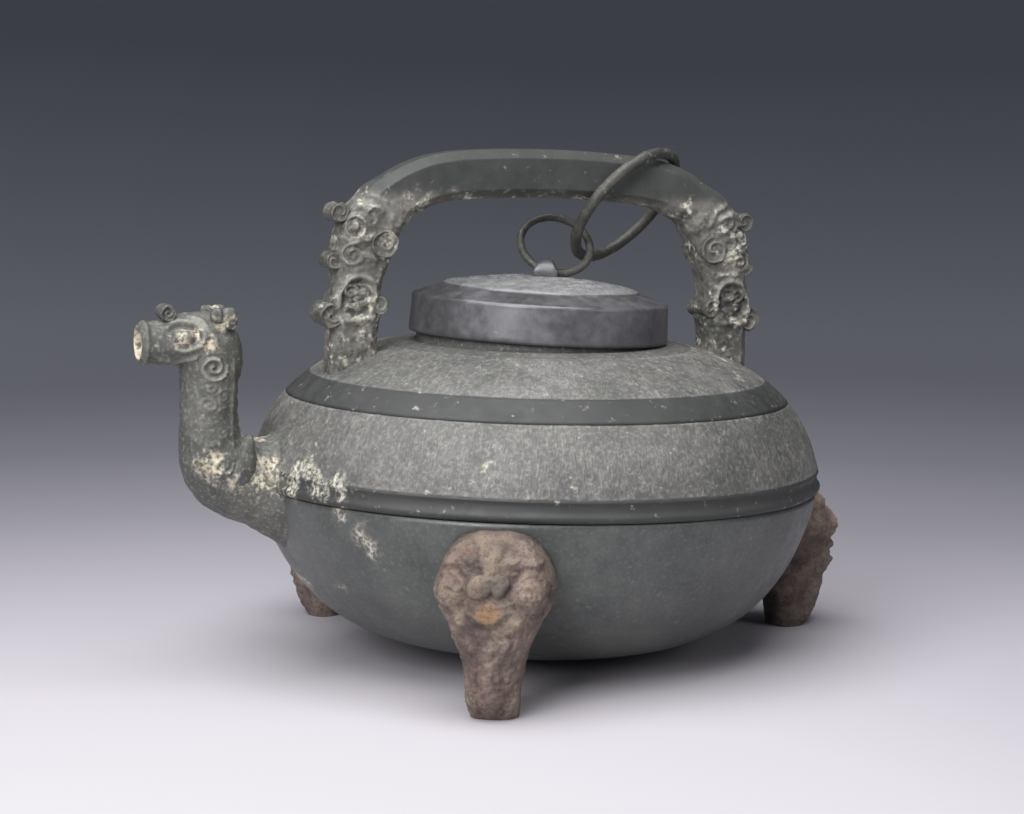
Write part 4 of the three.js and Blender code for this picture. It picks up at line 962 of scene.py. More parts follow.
def lid_relief(face, angles):
    """Scrolls of the lid's field, set out round rings, with a line between rings and worn in patches."""
    x, y = face[..., 0], face[..., 1]
    away = np.hypot(x, y)
    ring = np.clip(np.floor(away / LID_RING_PITCH), 0, 4)
    middle = (ring + 0.5) * LID_RING_PITCH
    number = np.maximum(np.round(2 * np.pi * middle / LID_SCROLL_PITCH), 1)
    warp = 0.3 * noise(face, 5, 121)
    cell = angles[None, :] / (2 * np.pi) * number
    across = (cell - np.floor(cell) - 0.5) * 2 * np.pi * middle / number
    mirrored = np.where(np.floor(cell) % 2 > 0, -1.0, 1.0)
    coil = ridge(to_spiral((across + warp) * mirrored, away - middle + warp, 3.1, 1.7, 0.8), 0.52)
    lines = ridge(repeated(away, LID_RING_PITCH), 0.45) * 0.7
    drawn = np.maximum(coil, lines) * between(9, LID_FIELD_RADIUS - 1.4, 0.6, away)
    drawn = np.maximum(drawn, ridge(away - LID_RING_PITCH, 0.6))
    return drawn * (0.45 + 0.55 * eased(-0.5, 0.2, rough(face, 20, 125)))


def make_knob():
    """Pierced knob: a squared loop that stands on the lid, longer at its foot than at its top. It is turned
    so that the small ring can pass through it."""
    rows, columns = 40, 28
    hole = knob_hole()
    axis = np.cross(unit(LID_RING_NORMAL), unit(LID_RING_RISE))
    heading = math.atan2(axis[1], axis[0])
    path = np.linspace(-0.25, 1.25, rows) * np.pi
    climb = np.clip(np.sin(path), 0, 1)[:, None]
    half_long = (KNOB_LENGTH * (1 - climb) + KNOB_TOP_LENGTH * climb) / 2
    loop = whole_turn(columns)
    thickness = squared(np.cos(loop), 0.55) * (KNOB_RIM / 2 + 0.25 * (1 - climb))
    spread = KNOB_HOLE_RADIUS + KNOB_RIM / 2 + thickness
    across = np.cos(path)[:, None] * spread
    length = squared(np.sin(loop), 0.55) * half_long
    x = length * math.cos(heading) - across * math.sin(heading) + hole[0]
    y = length * math.sin(heading) + across * math.cos(heading) + hole[1]
    return closed_grid(np.stack([x, y, hole[2] + np.sin(path)[:, None] * spread], -1))


def make_lid(sizes):
    """Cap over the neck: a turned profile with a soft shoulder, a smooth border and a domed field of
    scrolls, and a small pierced knob."""
    columns = 372
    shoulder, border, edge, crown = lid_heights()
    outer_radius = LID_INNER_RADIUS + LID_WALL
    top_radius = outer_radius - LID_SKIRT_TAPER
    radii = np.linspace(0.6, LID_FIELD_RADIUS - 0.4, 76)
    field = np.column_stack([radii, crown - LID_DOME * (radii / LID_FIELD_RADIUS) ** 2])
    turn = np.linspace(0, np.pi / 2, 7)
    rounding = 1.6
    corner = np.array([top_radius, shoulder]) - rounding * (1 - np.column_stack([np.cos(turn), np.sin(turn)]))
    step = np.array([(LID_FIELD_RADIUS + 0.2, edge - 0.5), (LID_FIELD_RADIUS + 0.5, border + 0.1)])
    slope, _ = even(np.array([(LID_FIELD_RADIUS + 1.4, border), (top_radius - 2.4, shoulder + 0.3)]), 1.2)
    foot = [(outer_radius, 0.6), (outer_radius - 0.3, 0.05)]
    skirt, _ = even(np.array([(top_radius, shoulder - 1.8), *foot]), 1.2)
    inside = np.array([(LID_INNER_RADIUS + 0.3, 0), (LID_INNER_RADIUS, 0.3),
                       (LID_INNER_RADIUS, shoulder - LID_WALL - 1.5),
                       (LID_INNER_RADIUS - 1.5, shoulder - LID_WALL), (LID_FIELD_RADIUS, border - LID_WALL),
                       (LID_FIELD_RADIUS * 0.6, crown - LID_WALL - LID_DOME * 0.36), (1.0, crown - LID_WALL)])
    points, angles = turned(np.vstack([field, step, slope, corner[::-1], skirt, inside]), columns)
    count = len(field)
    relief = np.zeros(points.shape[:2])
    relief[:count] = lid_relief(points[:count], angles)
    # The field: it takes the lid's second tones, paler as painted light from above, and its crust
    dull = np.zeros(points.shape[:2])
    dull[:count] = 1
    crust = crusts(points, 0.05, 22, 127) * dull
    points[..., 2] += relief * sizes.relief * MILLIMETRES * LID_LIFT + crust * 0.1
    flat, faces = closed_grid(points)
    shells = Shells()
    shells.add(seated(lid_place(flat)), faces, relief=relief, crust=crust, shade=dull)
    flat, faces = make_knob()
    shells.add(seated(lid_place(flat)), faces)
    return shells


def ring_shell(centre, normal, radius, wire, seed):
    """Ring of round wire about a middle, in the plane across a normal, pitted by corrosion."""
    rows, columns = 200, 24
    normal = unit(normal)
    first = unit(np.cross((1, 0, 0), normal))
    second = np.cross(normal, first)
    turn = whole_turn(rows)
    out = np.cos(turn)[:, None] * first + np.sin(turn)[:, None] * second
    roll = whole_turn(columns)
    ring = np.array(centre) + out[:, None, :] * (radius + wire * np.cos(roll))[None, :, None]
    ring = ring + normal * (wire * np.sin(roll))[None, :, None]
    core = np.array(centre) + out[:, None, :] * radius
    crust = crusts(ring, 0.12, 9, seed)
    thick = 0.95 + 0.05 * noise(ring, 4, seed + 1) - 0.06 * crust * (1 + noise(ring, 0.9, seed + 2))
    ring = core + (ring - core) * thick[..., None]
    shells = Shells()
    shells.add(seated(ring).reshape(-1, 3), [grid_faces(rows, columns, joined_rows=True)], crust=crust)
    return shells


def ring_places():
    """Middles and normals of both rings. The small one stands up from the knob, and the large one goes
    through it and over the handle's bar."""
    small = lid_place(knob_hole()) + unit(LID_RING_RISE) * LID_RING_RADIUS
    c, s = math.cos(HANDLE_RING_CLIMB), math.sin(HANDLE_RING_CLIMB)
    long = np.array([c, 0, s])
    side = np.array([0, math.cos(HANDLE_RING_ROLL), 0]) + math.sin(HANDLE_RING_ROLL) * np.array([s, 0, -c])
    large = small + np.array([LINK_REACH, 0, 0]) + long * HANDLE_RING_RADIUS
    return small, unit(LID_RING_NORMAL), large, np.cross(long, side)


# Feet

# Share of the foot's height, then front and back beyond the seam and share of the full width
FOOT_STATIONS = [(0, 7, -8, 0.41), (0.07, 11.5, -8.5, 0.435), (0.24, 16.5, -11, 0.48),
                 (0.34, 17.5, -15, 0.55), (0.42, 20, -19, 0.63), (0.52, 19, -22, 0.78),
                 (0.6, 18, -22, 0.93), (0.7, 18, -22, 1), (0.8, 16.5, -22, 0.93), (0.88, 13.5, -20, 0.82),
                 (0.94, 10, -18, 0.69), (0.98, 6, -16, 0.5), (1, 1.5, -14, 0.24)]


def mask_relief(y, h):
    """Forms of the mask by place across and height above the floor, in millimetres: hood, crest, brows,
    sunken eyes, a nose of two bosses over an almond, swollen cheeks, jaw and the ridged shin. Slow noise
    shifts every place a little, as the rust has."""
    place = np.stack([y, h, np.zeros_like(h)], -1)
    y = y + 0.9 * noise(place, 7, 152)
    h = h + 0.9 * noise(place, 7, 153)
    a = np.abs(y)
    # Hood's rim, crest and brows
    rise = 1.5 * ridge(to_line(a, h, [(0, 68.5), (6, 67.6), (12.5, 64.5), (17.5, 58.5)]), 1.7)
    rise += 2.6 * ridge(to_line(a, h, [(0.6, 56), (1.6, 60), (2.6, 65.5)]), 2.3)
    rise += 1.3 * ridge(to_line(a, h, [(6.5, 59.8), (11, 61.6), (15.6, 58.4)]), 1.7)
    # Sunken eyes, each with a ball
    rise -= 1.3 * ridge(np.hypot((a - 9.6) / 1.3, h - 56.2), 1.9)
    rise += 0.9 * (1 - eased(0.2, 1.7, np.hypot((a - 9.8) / 1.2, h - 56.2)))
    # Nose of two bosses
    boss = np.hypot(a - 3.9, (h - 52.2) / 1.05)
    rise += 3.4 * np.sqrt(np.clip(1 - (boss / 4.3) ** 2, 0, 1))
    # Swollen cheeks, each cut with a spiral
    cheek = np.hypot((a - 15.8) / 1.05, (h - 49.2) / 1.25)
    rise += 2.3 * (1 - eased(1.5, 7.0, cheek)) - 0.6 * ridge(cheek - 7.0, 1.0)
    rise -= 0.6 * ridge(to_spiral(a - 15.8, h - 49.2, 4.6, 1.0, 0.5), 0.8) * (cheek < 5.2)
    # Almond with a raised edge
    almond = (a / 6.6) ** 1.5 + (np.abs(h - 42.2) / 5.4) ** 1.5
    rise += 1.6 * (1 - eased(0.55, 1.1, almond)) + 0.7 * ridge(almond - 1.05, 0.28)
    rise -= 0.2 * ridge(almond - 1.6, 0.2)
    # Jaw with a knob at each corner
    rise += 0.6 * ridge(to_line(a, h, [(2, 33.8), (7.5, 35.6), (12.2, 41)]), 1.7)
    rise += 1.3 * (1 - eased(0.5, 3.6, np.hypot(a - 12.4, h - 38.6)))
    rise -= 0.3 * ridge(to_line(a, h, [(4.6, 37.6), (9.0, 40.8), (10.0, 45)]), 1.2)
    # Shin: slanting lines, a keel and a groove on each side of it
    rise += 1.0 * ridge(to_line(a, h, [(1, 22), (7.5, 31)]), 1.4)
    rise += 1.3 * ridge(a, 2.0) * between(5, 28, 4, h)
    rise -= 0.5 * ridge(a - 4.8, 1.4) * between(3, 22, 3, h)
    return rise


def mask_shade(y, h):
    """Colour key of the mask: 1 on the ochre almond, -1 on the grey boss and 0 elsewhere."""
    almond = (np.abs(y) / 6.0) ** 1.5 + (np.abs(h - 42.0) / 4.8) ** 1.5
    boss = np.hypot(y - 3.9, h - 52.0)
    return (1 - eased(0.5, 1.15, almond)) - (1 - eased(2.6, 4.8, boss))


def make_foot(name, azimuth, swelling):
    """Mask foot: squared-oval sections stacked up its height, relief on the front, rust swellings, and a back
    that is pushed out to stand clear of the bowl."""
    rows, front_columns, back_columns = 156, 124, 32
    height = SEAM_HEIGHT - SEAM_RADIUS * math.sin(LEAN) * math.cos(azimuth) - FOOT_DROP
    share = np.linspace(0, 1, rows)
    front, back, breadth = along(FOOT_STATIONS, share).T
    front_turn = np.linspace(-0.5, 0.5, front_columns) * np.pi
    back_turn = np.linspace(0.5, 1.5, back_columns + 2)[1:-1] * np.pi
    turn = np.concatenate([front_turn, back_turn])
    out, across = squared(np.cos(turn), 2 / 2.7), squared(np.sin(turn), 2 / 2.7)
    y = across[None, :] * breadth[:, None] * FOOT_WIDTH / 2
    h = np.broadcast_to((share * height)[:, None], y.shape)
    radius = SEAM_RADIUS + (front + back)[:, None] / 2 + out[None, :] * (front - back)[:, None] / 2
    scale = height / MASK_HEIGHT
    face = np.clip(out * 2, 0, 1)[None, :]
    rise = mask_relief(y, h / scale) * face
    local = np.stack([radius, y, h], -1)
    blister = np.clip(rough(local, 8, 141 + int(azimuth * 10)), 0, 1)
    grown = np.abs(noise(local, 3.6, 149)) + 0.5 * np.abs(noise(local, 1.8, 151))
    rust = swelling * (blister + 0.65 * grown - 0.27) * eased(0, 3, h)
    rust += 0.28 * noise(local, 1.3, 147) * eased(0.5, 2, h)
    shift = np.stack([face * np.ones_like(h), 0.55 * across[None, :] * np.ones_like(h), np.zeros_like(h)], -1)
    local = local + shift * (rise + rust)[..., None]
    local[..., 0] -= 1.2 * face
    if name in FOOT_TWIST:
        local[..., 1] += FOOT_TWIST[name] * (0.6 + 0.8 * eased(4, 45, h))
    cosine, sine = math.cos(azimuth), math.sin(azimuth)
    standing = np.stack([local[..., 0] * cosine - local[..., 1] * sine,
                         local[..., 0] * sine + local[..., 1] * cosine, local[..., 2]], -1)
    flat, faces = closed_grid(standing)
    tipped = flat + np.array([FOOT_SHIFT, 0, 0])
    cleared = seated(clear_of_body(unseated(tipped), CLEARANCE))
    cleared[:, 2] = np.maximum(cleared[:, 2], 0)
    streak = ridge(y, 1.8) * between(8, 30, 5, h) * eased(-0.2, 0.4, noise(local, 3, 155))
    crust = np.clip(np.maximum(blister * 1.4, 2.2 * streak), 0, 1)
    relief = np.clip(rise / 4 + 0.25 * (grown - 0.45), -1, 1)
    shells = Shells()
    shells.add(cleared, faces, relief=relief, crust=crust, shade=mask_shade(y, h / scale) * face)
    return shells


# Materials


def linear(code):
    """Linear colour of an sRGB hex code, from the standard's own two-part curve."""
    values = [int(code[k:k + 2], 16) / 255 for k in (1, 3, 5)]
    return [v / 12.92 if v <= 0.04045 else ((v + 0.055) / 1.055) ** 2.4 for v in values]


def rgba(colour):
    """Four-part colour of a hex code or of a three-part colour that is linear already."""
    return (*(linear(colour) if isinstance(colour, str) else colour), 1.0)


def node(tree, kind, inputs, output=0, stops=(), **settings):
    """Adds a shader node and gives one of its outputs. Inputs, by name or number, take a value or another
    node's output. Stops, as places and colours, are a ramp's own, and the settings are the node's."""
    made = tree.nodes.new("ShaderNode" + kind)
    for key, value in settings.items():
        setattr(made, key, value)
    for key, value in inputs.items():
        socket = made.inputs[key]
        if isinstance(value, bpy.types.NodeSocket):
            tree.links.new(value, socket)
        else:
            socket.default_value = rgba(value) if socket.type == "RGBA" else value
    for number, (place, colour) in enumerate(stops):
        if number >= len(made.color_ramp.elements):
            made.color_ramp.elements.new(1.0)
        made.color_ramp.elements[number].position = place
        made.color_ramp.elements[number].color = rgba(colour)
    return made.outputs[output] if made.outputs else None


# Numbers of the Mix node's sockets, whose names it repeats for each kind of value
MIX_SHARE = 0
MIX_VALUE_A = 2
MIX_VALUE_B = 3
MIX_COLOUR_A = 6
MIX_COLOUR_B = 7
MIX_COLOUR_OUT = 2


def mixed(tree, share, first, second):
    """Colour between the first, at a share of 0, and the second, at 1."""
    ends = {MIX_SHARE: share, MIX_COLOUR_A: first, MIX_COLOUR_B: second}
    return node(tree, "Mix", ends, MIX_COLOUR_OUT, data_type="RGBA")


def layered(tree, colour, layers):
    """Colours laid over one another. Each layer is a value, its two ends, how strongly the layer shows at
    each end, and the layer's own colour."""
    for value, low, high, at_low, at_high, tone in layers:
        ends = {"Value": value, "From Min": low, "From Max": high, "To Min": at_low, "To Max": at_high}
        share = node(tree, "MapRange", ends, interpolation_type="SMOOTHSTEP")
        colour = mixed(tree, share, colour, tone)
    return colour


def new_material(name):
    """Empty material, its tree and the piece's own coordinates."""
    material = bpy.data.materials.new(name)
    material.use_nodes = True
    tree = material.node_tree
    tree.nodes.clear()
    return material, tree, node(tree, "TexCoord", {}, "Object")


def patinated(name, tones, raised, sunk, crust_tone, metallic, roughness, second=None, fleck=0.5, pit=0.0001,
              grit=0.1, smooth_shade=1):
    """Cast bronze under a mineral skin: three patina tones in lumps of 30 mm and 6 mm, and a second three as
    the piece's shade nears 1. Raised lines and the ground between them have their own tone and strength.
    Flecks and pale crust lie over both, the crust stained in places, and all of it is finely pitted. Pale
    and dark grit fades out where the piece's shade reaches smooth_shade, 0 or 1."""
    material, tree, place = new_material(name)
    broad = node(tree, "TexNoise", {"Vector": place, "Scale": 1 / 0.03, "Detail": 5, "Roughness": 0.55})
    fine = node(tree, "TexNoise", {"Vector": place, "Scale": 1 / 0.006, "Detail": 8, "Roughness": 0.62})
    dust = node(tree, "TexNoise", {"Vector": place, "Scale": 1 / 0.0016, "Detail": 4, "Roughness": 0.6})
    flecks = node(tree, "TexNoise", {"Vector": place, "Scale": 1 / 0.0042, "Detail": 6, "Roughness": 0.7})
    relief, crust, shade = (node(tree, "Attribute", {}, "Fac", attribute_name=trait) for trait in TRAITS)
    blend = node(tree, "Mix", {MIX_SHARE: 0.4, MIX_VALUE_A: broad, MIX_VALUE_B: fine})
    colour = node(tree, "ValToRGB", {"Fac": blend}, stops=zip((0.36, 0.5, 0.64), tones))
    if second:
        other = node(tree, "ValToRGB", {"Fac": blend}, stops=zip((0.36, 0.5, 0.64), second))
        colour = mixed(tree, shade, colour, other)
    worn = node(tree, "MapRange", {"Value": dust, "From Min": 0.36, "From Max": 0.58, "To Min": 0.15,
                                   "To Max": 1})
    shown = node(tree, "Math", {0: crust, 1: worn}, operation="MULTIPLY", use_clamp=True)
    at_zero, at_one = (dust, 0.5) if smooth_shade else (0.5, dust)
    grain = node(tree, "Mix", {MIX_SHARE: shade, MIX_VALUE_A: at_zero, MIX_VALUE_B: at_one})
    stained = layered(tree, crust_tone, [(fine, 0.42, 0.6, 0.0, 0.7, "#928775"),
                                         (dust, 0.35, 0.55, 0.5, 0.0, "#6f6a60")])
    colour = layered(tree, colour, [(relief, 0.0, 0.45, sunk[1], 0.0, sunk[0]),
                                    (relief, 0.35, 0.95, 0.0, raised[1], raised[0]),
                                    (grain, 0.34, 0.48, grit, 0.0, "#303231"),
                                    (grain, 0.52, 0.66, 0.0, grit, "#a3a29b"),
                                    (flecks, 0.6, 0.72, 0.0, fleck, crust_tone),
                                    (shown, 0.0, 1.0, 0.0, 1.0, stained)])
    skin = node(tree, "MapRange", {"Value": fine, "From Min": 0.35, "From Max": 0.65,
                                   "To Min": roughness - 0.08, "To Max": roughness + 0.12})
    dull = node(tree, "Math", {0: shown, 1: 0.25, 2: skin}, operation="MULTIPLY_ADD", use_clamp=True)
    height = node(tree, "Math", {0: dust, 1: 0.5, 2: fine}, operation="MULTIPLY_ADD")
    bump = node(tree, "Bump", {"Strength": 0.55, "Distance": pit, "Height": height})
    shader = node(tree, "BsdfPrincipled", {"Base Color": colour, "Metallic": metallic, "Roughness": dull,
                                           "Normal": bump})
    node(tree, "OutputMaterial", {"Surface": shader})
    return material


def rusted_iron(name, scale_tone):
    """Iron rusted through: brown scale with tan, pink, orange and grey patches 18 mm to 4 mm across, dark in
    its hollows and pale where crust has grown on it."""
    material, tree, place = new_material(name)
    broad = node(tree, "TexNoise", {"Vector": place, "Scale": 1 / 0.018, "Detail": 6, "Roughness": 0.62})
    tan = node(tree, "TexNoise", {"Vector": place, "Scale": 1 / 0.009, "Detail": 6, "Roughness": 0.72})
    orange = node(tree, "TexNoise", {"Vector": place, "Scale": 1 / 0.0062, "Detail": 7, "Roughness": 0.7})
    fine = node(tree, "TexNoise", {"Vector": place, "Scale": 1 / 0.0045, "Detail": 8, "Roughness": 0.66})
    dust = node(tree, "TexNoise", {"Vector": place, "Scale": 1 / 0.0013, "Detail": 5, "Roughness": 0.65})
    aside = node(tree, "Mapping", {"Vector": place, "Location": (0.3, 0.1, 0.2)})
    pink = node(tree, "TexNoise", {"Vector": aside, "Scale": 1 / 0.014, "Detail": 5, "Roughness": 0.6})
    relief, crust, shade = (node(tree, "Attribute", {}, "Fac", attribute_name=trait) for trait in TRAITS)
    worn = node(tree, "MapRange", {"Value": fine, "From Min": 0.36, "From Max": 0.56, "To Min": 0.4,
                                   "To Max": 1})
    ochre = node(tree, "Math", {0: shade, 1: worn}, operation="MULTIPLY", use_clamp=True)
    tones = ["#433a37", "#5d504b", scale_tone, "#80736c"]
    colour = node(tree, "ValToRGB", {"Fac": broad}, stops=zip((0.34, 0.45, 0.54, 0.66), tones))
    colour = layered(tree, colour, [(tan, 0.46, 0.64, 0.0, 0.55, "#807260"),
                                    (pink, 0.5, 0.66, 0.0, 0.4, "#7a605a"),
                                    (orange, 0.6, 0.7, 0.0, 0.5, "#8a613f"),
                                    (crust, 0.0, 1.0, 0.0, 0.3, "#8d8379"),
                                    (ochre, 0.0, 1.0, 0.0, 0.85, "#8c6a4b"),
                                    (shade, -1.0, 0.0, 0.9, 0.0, "#3c3f43"),
                                    (relief, -0.4, 0.0, 0.6, 0.0, "#302826"),
                                    (relief, 0.2, 0.5, 0.0, 0.25, "#9c8c78"),
                                    (dust, 0.34, 0.5, 0.5, 0.0, "#2c2423")])
    height = node(tree, "Math", {0: dust, 1: 0.4, 2: fine}, operation="MULTIPLY_ADD")
    bump = node(tree, "Bump", {"Strength": 0.9, "Distance": 0.001, "Height": height})
    shader = node(tree, "BsdfPrincipled", {"Base Color": colour, "Metallic": 0.0, "Roughness": 0.85,
                                           "Normal": bump})
    node(tree, "OutputMaterial", {"Surface": shader})
    return material


# Stage

# Places and sizes here are in metres, and the lens in millimetres
CAMERA_PLACE = (-0.39356, -0.99737, 0.24360)
CAMERA_AZIMUTH = math.radians(22.226)
CAMERA_YAW = -0.0083
CAMERA_PITCH = math.radians(-7.423)
CAMERA_ROLL = math.radians(-0.503)
CAMERA_LENS = 90.64


def make_camera():
    """Camera at the photograph's own viewing place, turned by its azimuth, yaw, pitch and roll."""
    forward = np.array([math.sin(CAMERA_YAW) * math.cos(CAMERA_PITCH),
                        math.cos(CAMERA_YAW) * math.cos(CAMERA_PITCH), math.sin(CAMERA_PITCH)])
    right = np.array([math.cos(CAMERA_YAW), -math.sin(CAMERA_YAW), 0])
    up = np.cross(right, forward)
    c, s = math.cos(CAMERA_ROLL), math.sin(CAMERA_ROLL)
    right, up = right * c + up * s, up * c - right * s
    c, s = math.cos(CAMERA_AZIMUTH), math.sin(CAMERA_AZIMUTH)
    turn = np.array([[c, s, 0], [-s, c, 0], [0, 0, 1]])
    axes = [turn @ v for v in (right, up, -forward)]
    data = bpy.data.cameras.new("Camera")
    data.lens = CAMERA_LENS
    data.sensor_width = 36
    data.clip_start = 0.05
    camera = bpy.data.objects.new("Camera", data)
    bpy.context.scene.collection.objects.link(camera)
    world = Matrix([[*(axis[k] for axis in axes), CAMERA_PLACE[k]] for k in range(3)] + [[0, 0, 0, 1]])
    camera.matrix_world = world
    bpy.context.scene.camera = camera


# Paper: radius and height of its wall, and of the bend between floor and wall
PAPER_RADIUS = 1.9
PAPER_HEIGHT = 3.2
PAPER_BEND = 0.9
# Middle of the painted pool of light on the paper: in front of the vessel and a little to the left, as a
# shift of the pattern
LIGHT_POOL_PLACE = (0.2, 0.25, 0.0)
# Tones of the paper by distance from the middle of its painted pool of light, in metres: painted light, pale
# on the floor and darker up the wall
PAPER_REACH = 2.4
PAPER_PAINTED_LIGHT_TONES = [(0.0, "#b9b7ba"), (0.24, "#b8b4ba"), (0.44, "#a6a2aa"), (0.66, "#8a888f"), (0.9, "#75757e"),
               (1.1, "#6f7077"), (1.5, "#696b72"), (1.95, "#464950")]


def make_backdrop():
    """Floor that curves up into a wall all round: a flat line, a quarter circle and an upright, turned about
    the Z axis, with painted light that is pale below and falls off to grey above."""
    columns = 96
    turn = np.linspace(0, np.pi / 2, 24)[1:]
    flat = PAPER_RADIUS - PAPER_BEND
    floor = np.column_stack([[0.001, *np.linspace(0.1, flat, 10)], np.zeros(11)])
    curve = np.column_stack([flat + PAPER_BEND * np.sin(turn), PAPER_BEND - PAPER_BEND * np.cos(turn)])
    wall = [(PAPER_RADIUS, PAPER_HEIGHT / 2), (PAPER_RADIUS, PAPER_HEIGHT)]
    points, _ = turned(np.vstack([floor, curve, wall]), columns)
    mesh = bpy.data.meshes.new("backdrop")
    faces = grid_faces(len(points), columns)
    mesh.from_pydata(points.reshape(-1, 3).tolist(), [], faces.tolist())
    mesh.polygons.foreach_set("use_smooth", np.ones(len(faces), bool))
    backdrop = bpy.data.objects.new("backdrop", mesh)
    bpy.context.scene.collection.objects.link(backdrop)
    # Seamless paper: matt, with painted light that is pale on the floor and darker up the wall
    material, tree, place = new_material("Seamless paper, matt, painted light")
    centred = node(tree, "Mapping", {"Vector": place, "Location": LIGHT_POOL_PLACE})
    away = node(tree, "VectorMath", {0: centred}, "Value", operation="LENGTH")
    share = node(tree, "Math", {0: away, 1: PAPER_REACH}, operation="DIVIDE")
    stops = [(distance / PAPER_REACH, tone) for distance, tone in PAPER_PAINTED_LIGHT_TONES]
    colour = node(tree, "ValToRGB", {"Fac": share}, stops=stops)
    paper = {"Base Color": colour, "Roughness": 0.95, "Specular IOR Level": 0.1}
    node(tree, "OutputMaterial", {"Surface": node(tree, "BsdfPrincipled", paper)})
    mesh.materials.append(material)


def soft_light(name, place, aim_height, size, power):
    """White square area light at a place, turned to face a height above the frame's middle."""
    data = bpy.data.lights.new(name, "AREA")
    data.shape = "SQUARE"
    data.size = size
    data.energy = power
    light = bpy.data.objects.new(name, data)
    light.location = place
    aim = Vector((0, 0, aim_height))
    light.rotation_euler = (aim - Vector(place)).to_track_quat("-Z", "Y").to_euler()
    bpy.context.scene.collection.objects.link(light)


def make_lights():
    """One wide light above, a softer one on each side of the camera and a dim, even surrounding."""
    soft_light("Top light", place=(-0.3, -0.3, 1.3), aim_height=0.05, size=1.5, power=31)
    soft_light("Left light", place=(-1.15, -1.0, 0.8), aim_height=0.08, size=0.8, power=20)
    soft_light("Right light", place=(0.85, -1.1, 0.7), aim_height=0.08, size=0.7, power=3)
    world = bpy.data.worlds.new("Studio")
    world.use_nodes = True
    surrounding = world.node_tree.nodes["Background"]
    surrounding.inputs["Color"].default_value = rgba("#c9ccd4")
    surrounding.inputs["Strength"].default_value = 0.5
    bpy.context.scene.world = world
    # Plain tone curve, so that white paper stays white
    bpy.context.scene.view_settings.view_transform = "Standard"


# Settings that a user would change


def height_setting(name, description, default, highest):
    """Height in metres that a user can set from nothing to the highest."""
    return bpy.props.FloatProperty(name=name, description=description, default=default, min=0, max=highest,
                                   unit="LENGTH", precision=5)


def tone_setting(name, description, code):
    """Colour that a user can set, from its sRGB hex code."""
    return bpy.props.FloatVectorProperty(name=name, description=description, default=linear(code),
                                         subtype="COLOR", min=0, max=1)


class VesselSizes(bpy.types.PropertyGroup):
    """Heights of the finer relief"""
    relief: height_setting("Relief", "Height of the cast scroll pattern where it isn't worn", 0.001, 0.002)
    rust: height_setting("Rust", "Height of the rust swellings on the feet", 0.0013, 0.003)


class VesselColours(bpy.types.PropertyGroup):
    """Main tone of each finish"""
    bronze: tone_setting("Bronze", "Main tone of the smooth patina", "#575a58")
    register: tone_setting("Registers", "Main tone of the patterned patina", "#666562")
    handle: tone_setting("Handle", "Main tone of the handle's bar", "#363837")
    lid: tone_setting("Lid", "Main tone of the lid's skirt", "#646467")
    rings: tone_setting("Rings", "Main tone of the rings", "#434340")
    iron: tone_setting("Iron", "Main tone of the feet's rust", "#6b5d57")
    crust: tone_setting("Crust", "Pale mineral crust", "#c6c4b6")
    lime: tone_setting("Lime", "Cream lime on the spout", "#d2c8b2")


# Operators, one for each piece or group of like pieces


class VESSEL_OT_body(bpy.types.Operator):
    """Makes the bowl, the patterned shoulder and the neck"""
    bl_idname = "vessel.body"
    bl_label = "Body"

    def execute(self, context):
        sizes, tones = context.scene.vessel_sizes, context.scene.vessel_colours
        # Cast bronze with a buried patina: pale on the scrolls' ridges and dark with soil between them
        cast = patinated("Cast bronze, buried patina on scroll registers",
                         ["#555553", tones.register, "#777573"], ("#92918c", 0.45), ("#3c3d3d", 0.4),
                         tones.crust, 0.15, 0.6, second=["#303130", "#3a3b3a", "#464644"], grit=0.26)
        # Cast and scraped bronze: an even grey-green skin with a low, soft shine
        plain = patinated("Cast bronze, smooth grey-green patina", ["#4b4e4c", tones.bronze, "#636562"],
                          ("#7d7f7c", 0.3), ("#5d605f", 0.0), tones.crust, 0.3, 0.4, fleck=0.16, pit=0.00005)
        make_lower_register(sizes).make("shoulder_register", ["body"], "bronze_body", cast)
        make_upper_register(sizes).make("neck_register", ["body"], "bronze_body", cast)
        make_bowl().make("bowl", ["body"], "bronze_body", plain)
        return {"FINISHED"}


class VESSEL_OT_spout(bpy.types.Operator):
    """Makes the animal-headed spout"""
    bl_idname = "vessel.spout"
    bl_label = "Spout"

    def execute(self, context):
        tones = context.scene.vessel_colours
        # Cast bronze crusted with lime: cream patches over grey-green
        cast = patinated("Cast bronze, lime-crusted spout", ["#4a4b47", "#61615c", "#797871"],
                         ("#8a8981", 0.5), ("#343636", 0.35), tones.lime, 0.12, 0.62,
                         fleck=0.4, pit=0.0002, grit=0.3)
        make_spout().make("spout_dressed", ["spout"], "bronze_spout", cast)
        return {"FINISHED"}


class VESSEL_OT_handle(bpy.types.Operator):
    """Makes the arched handle with its two animal heads"""
    bl_idname = "vessel.handle"
    bl_label = "Handle"

    def execute(self, context):
        # Cast bronze: a dark smooth bar, and heads with greenish-white corrosion in their hollows
        tones = context.scene.vessel_colours
        cast = patinated("Cast bronze, dark handle with pale corrosion",
                         ["#2b2d2d", tones.handle, "#434543"], ("#8b8b84", 0.5), ("#2c2e2d", 0.6),
                         tones.crust, 0.12, 0.62, second=["#474741", "#62605b", "#807d77"],
                         fleck=0.35, pit=0.0002, grit=0.26, smooth_shade=0)
        make_handle().make("handle_dressed", ["handle"], "bronze_handle", cast)
        return {"FINISHED"}


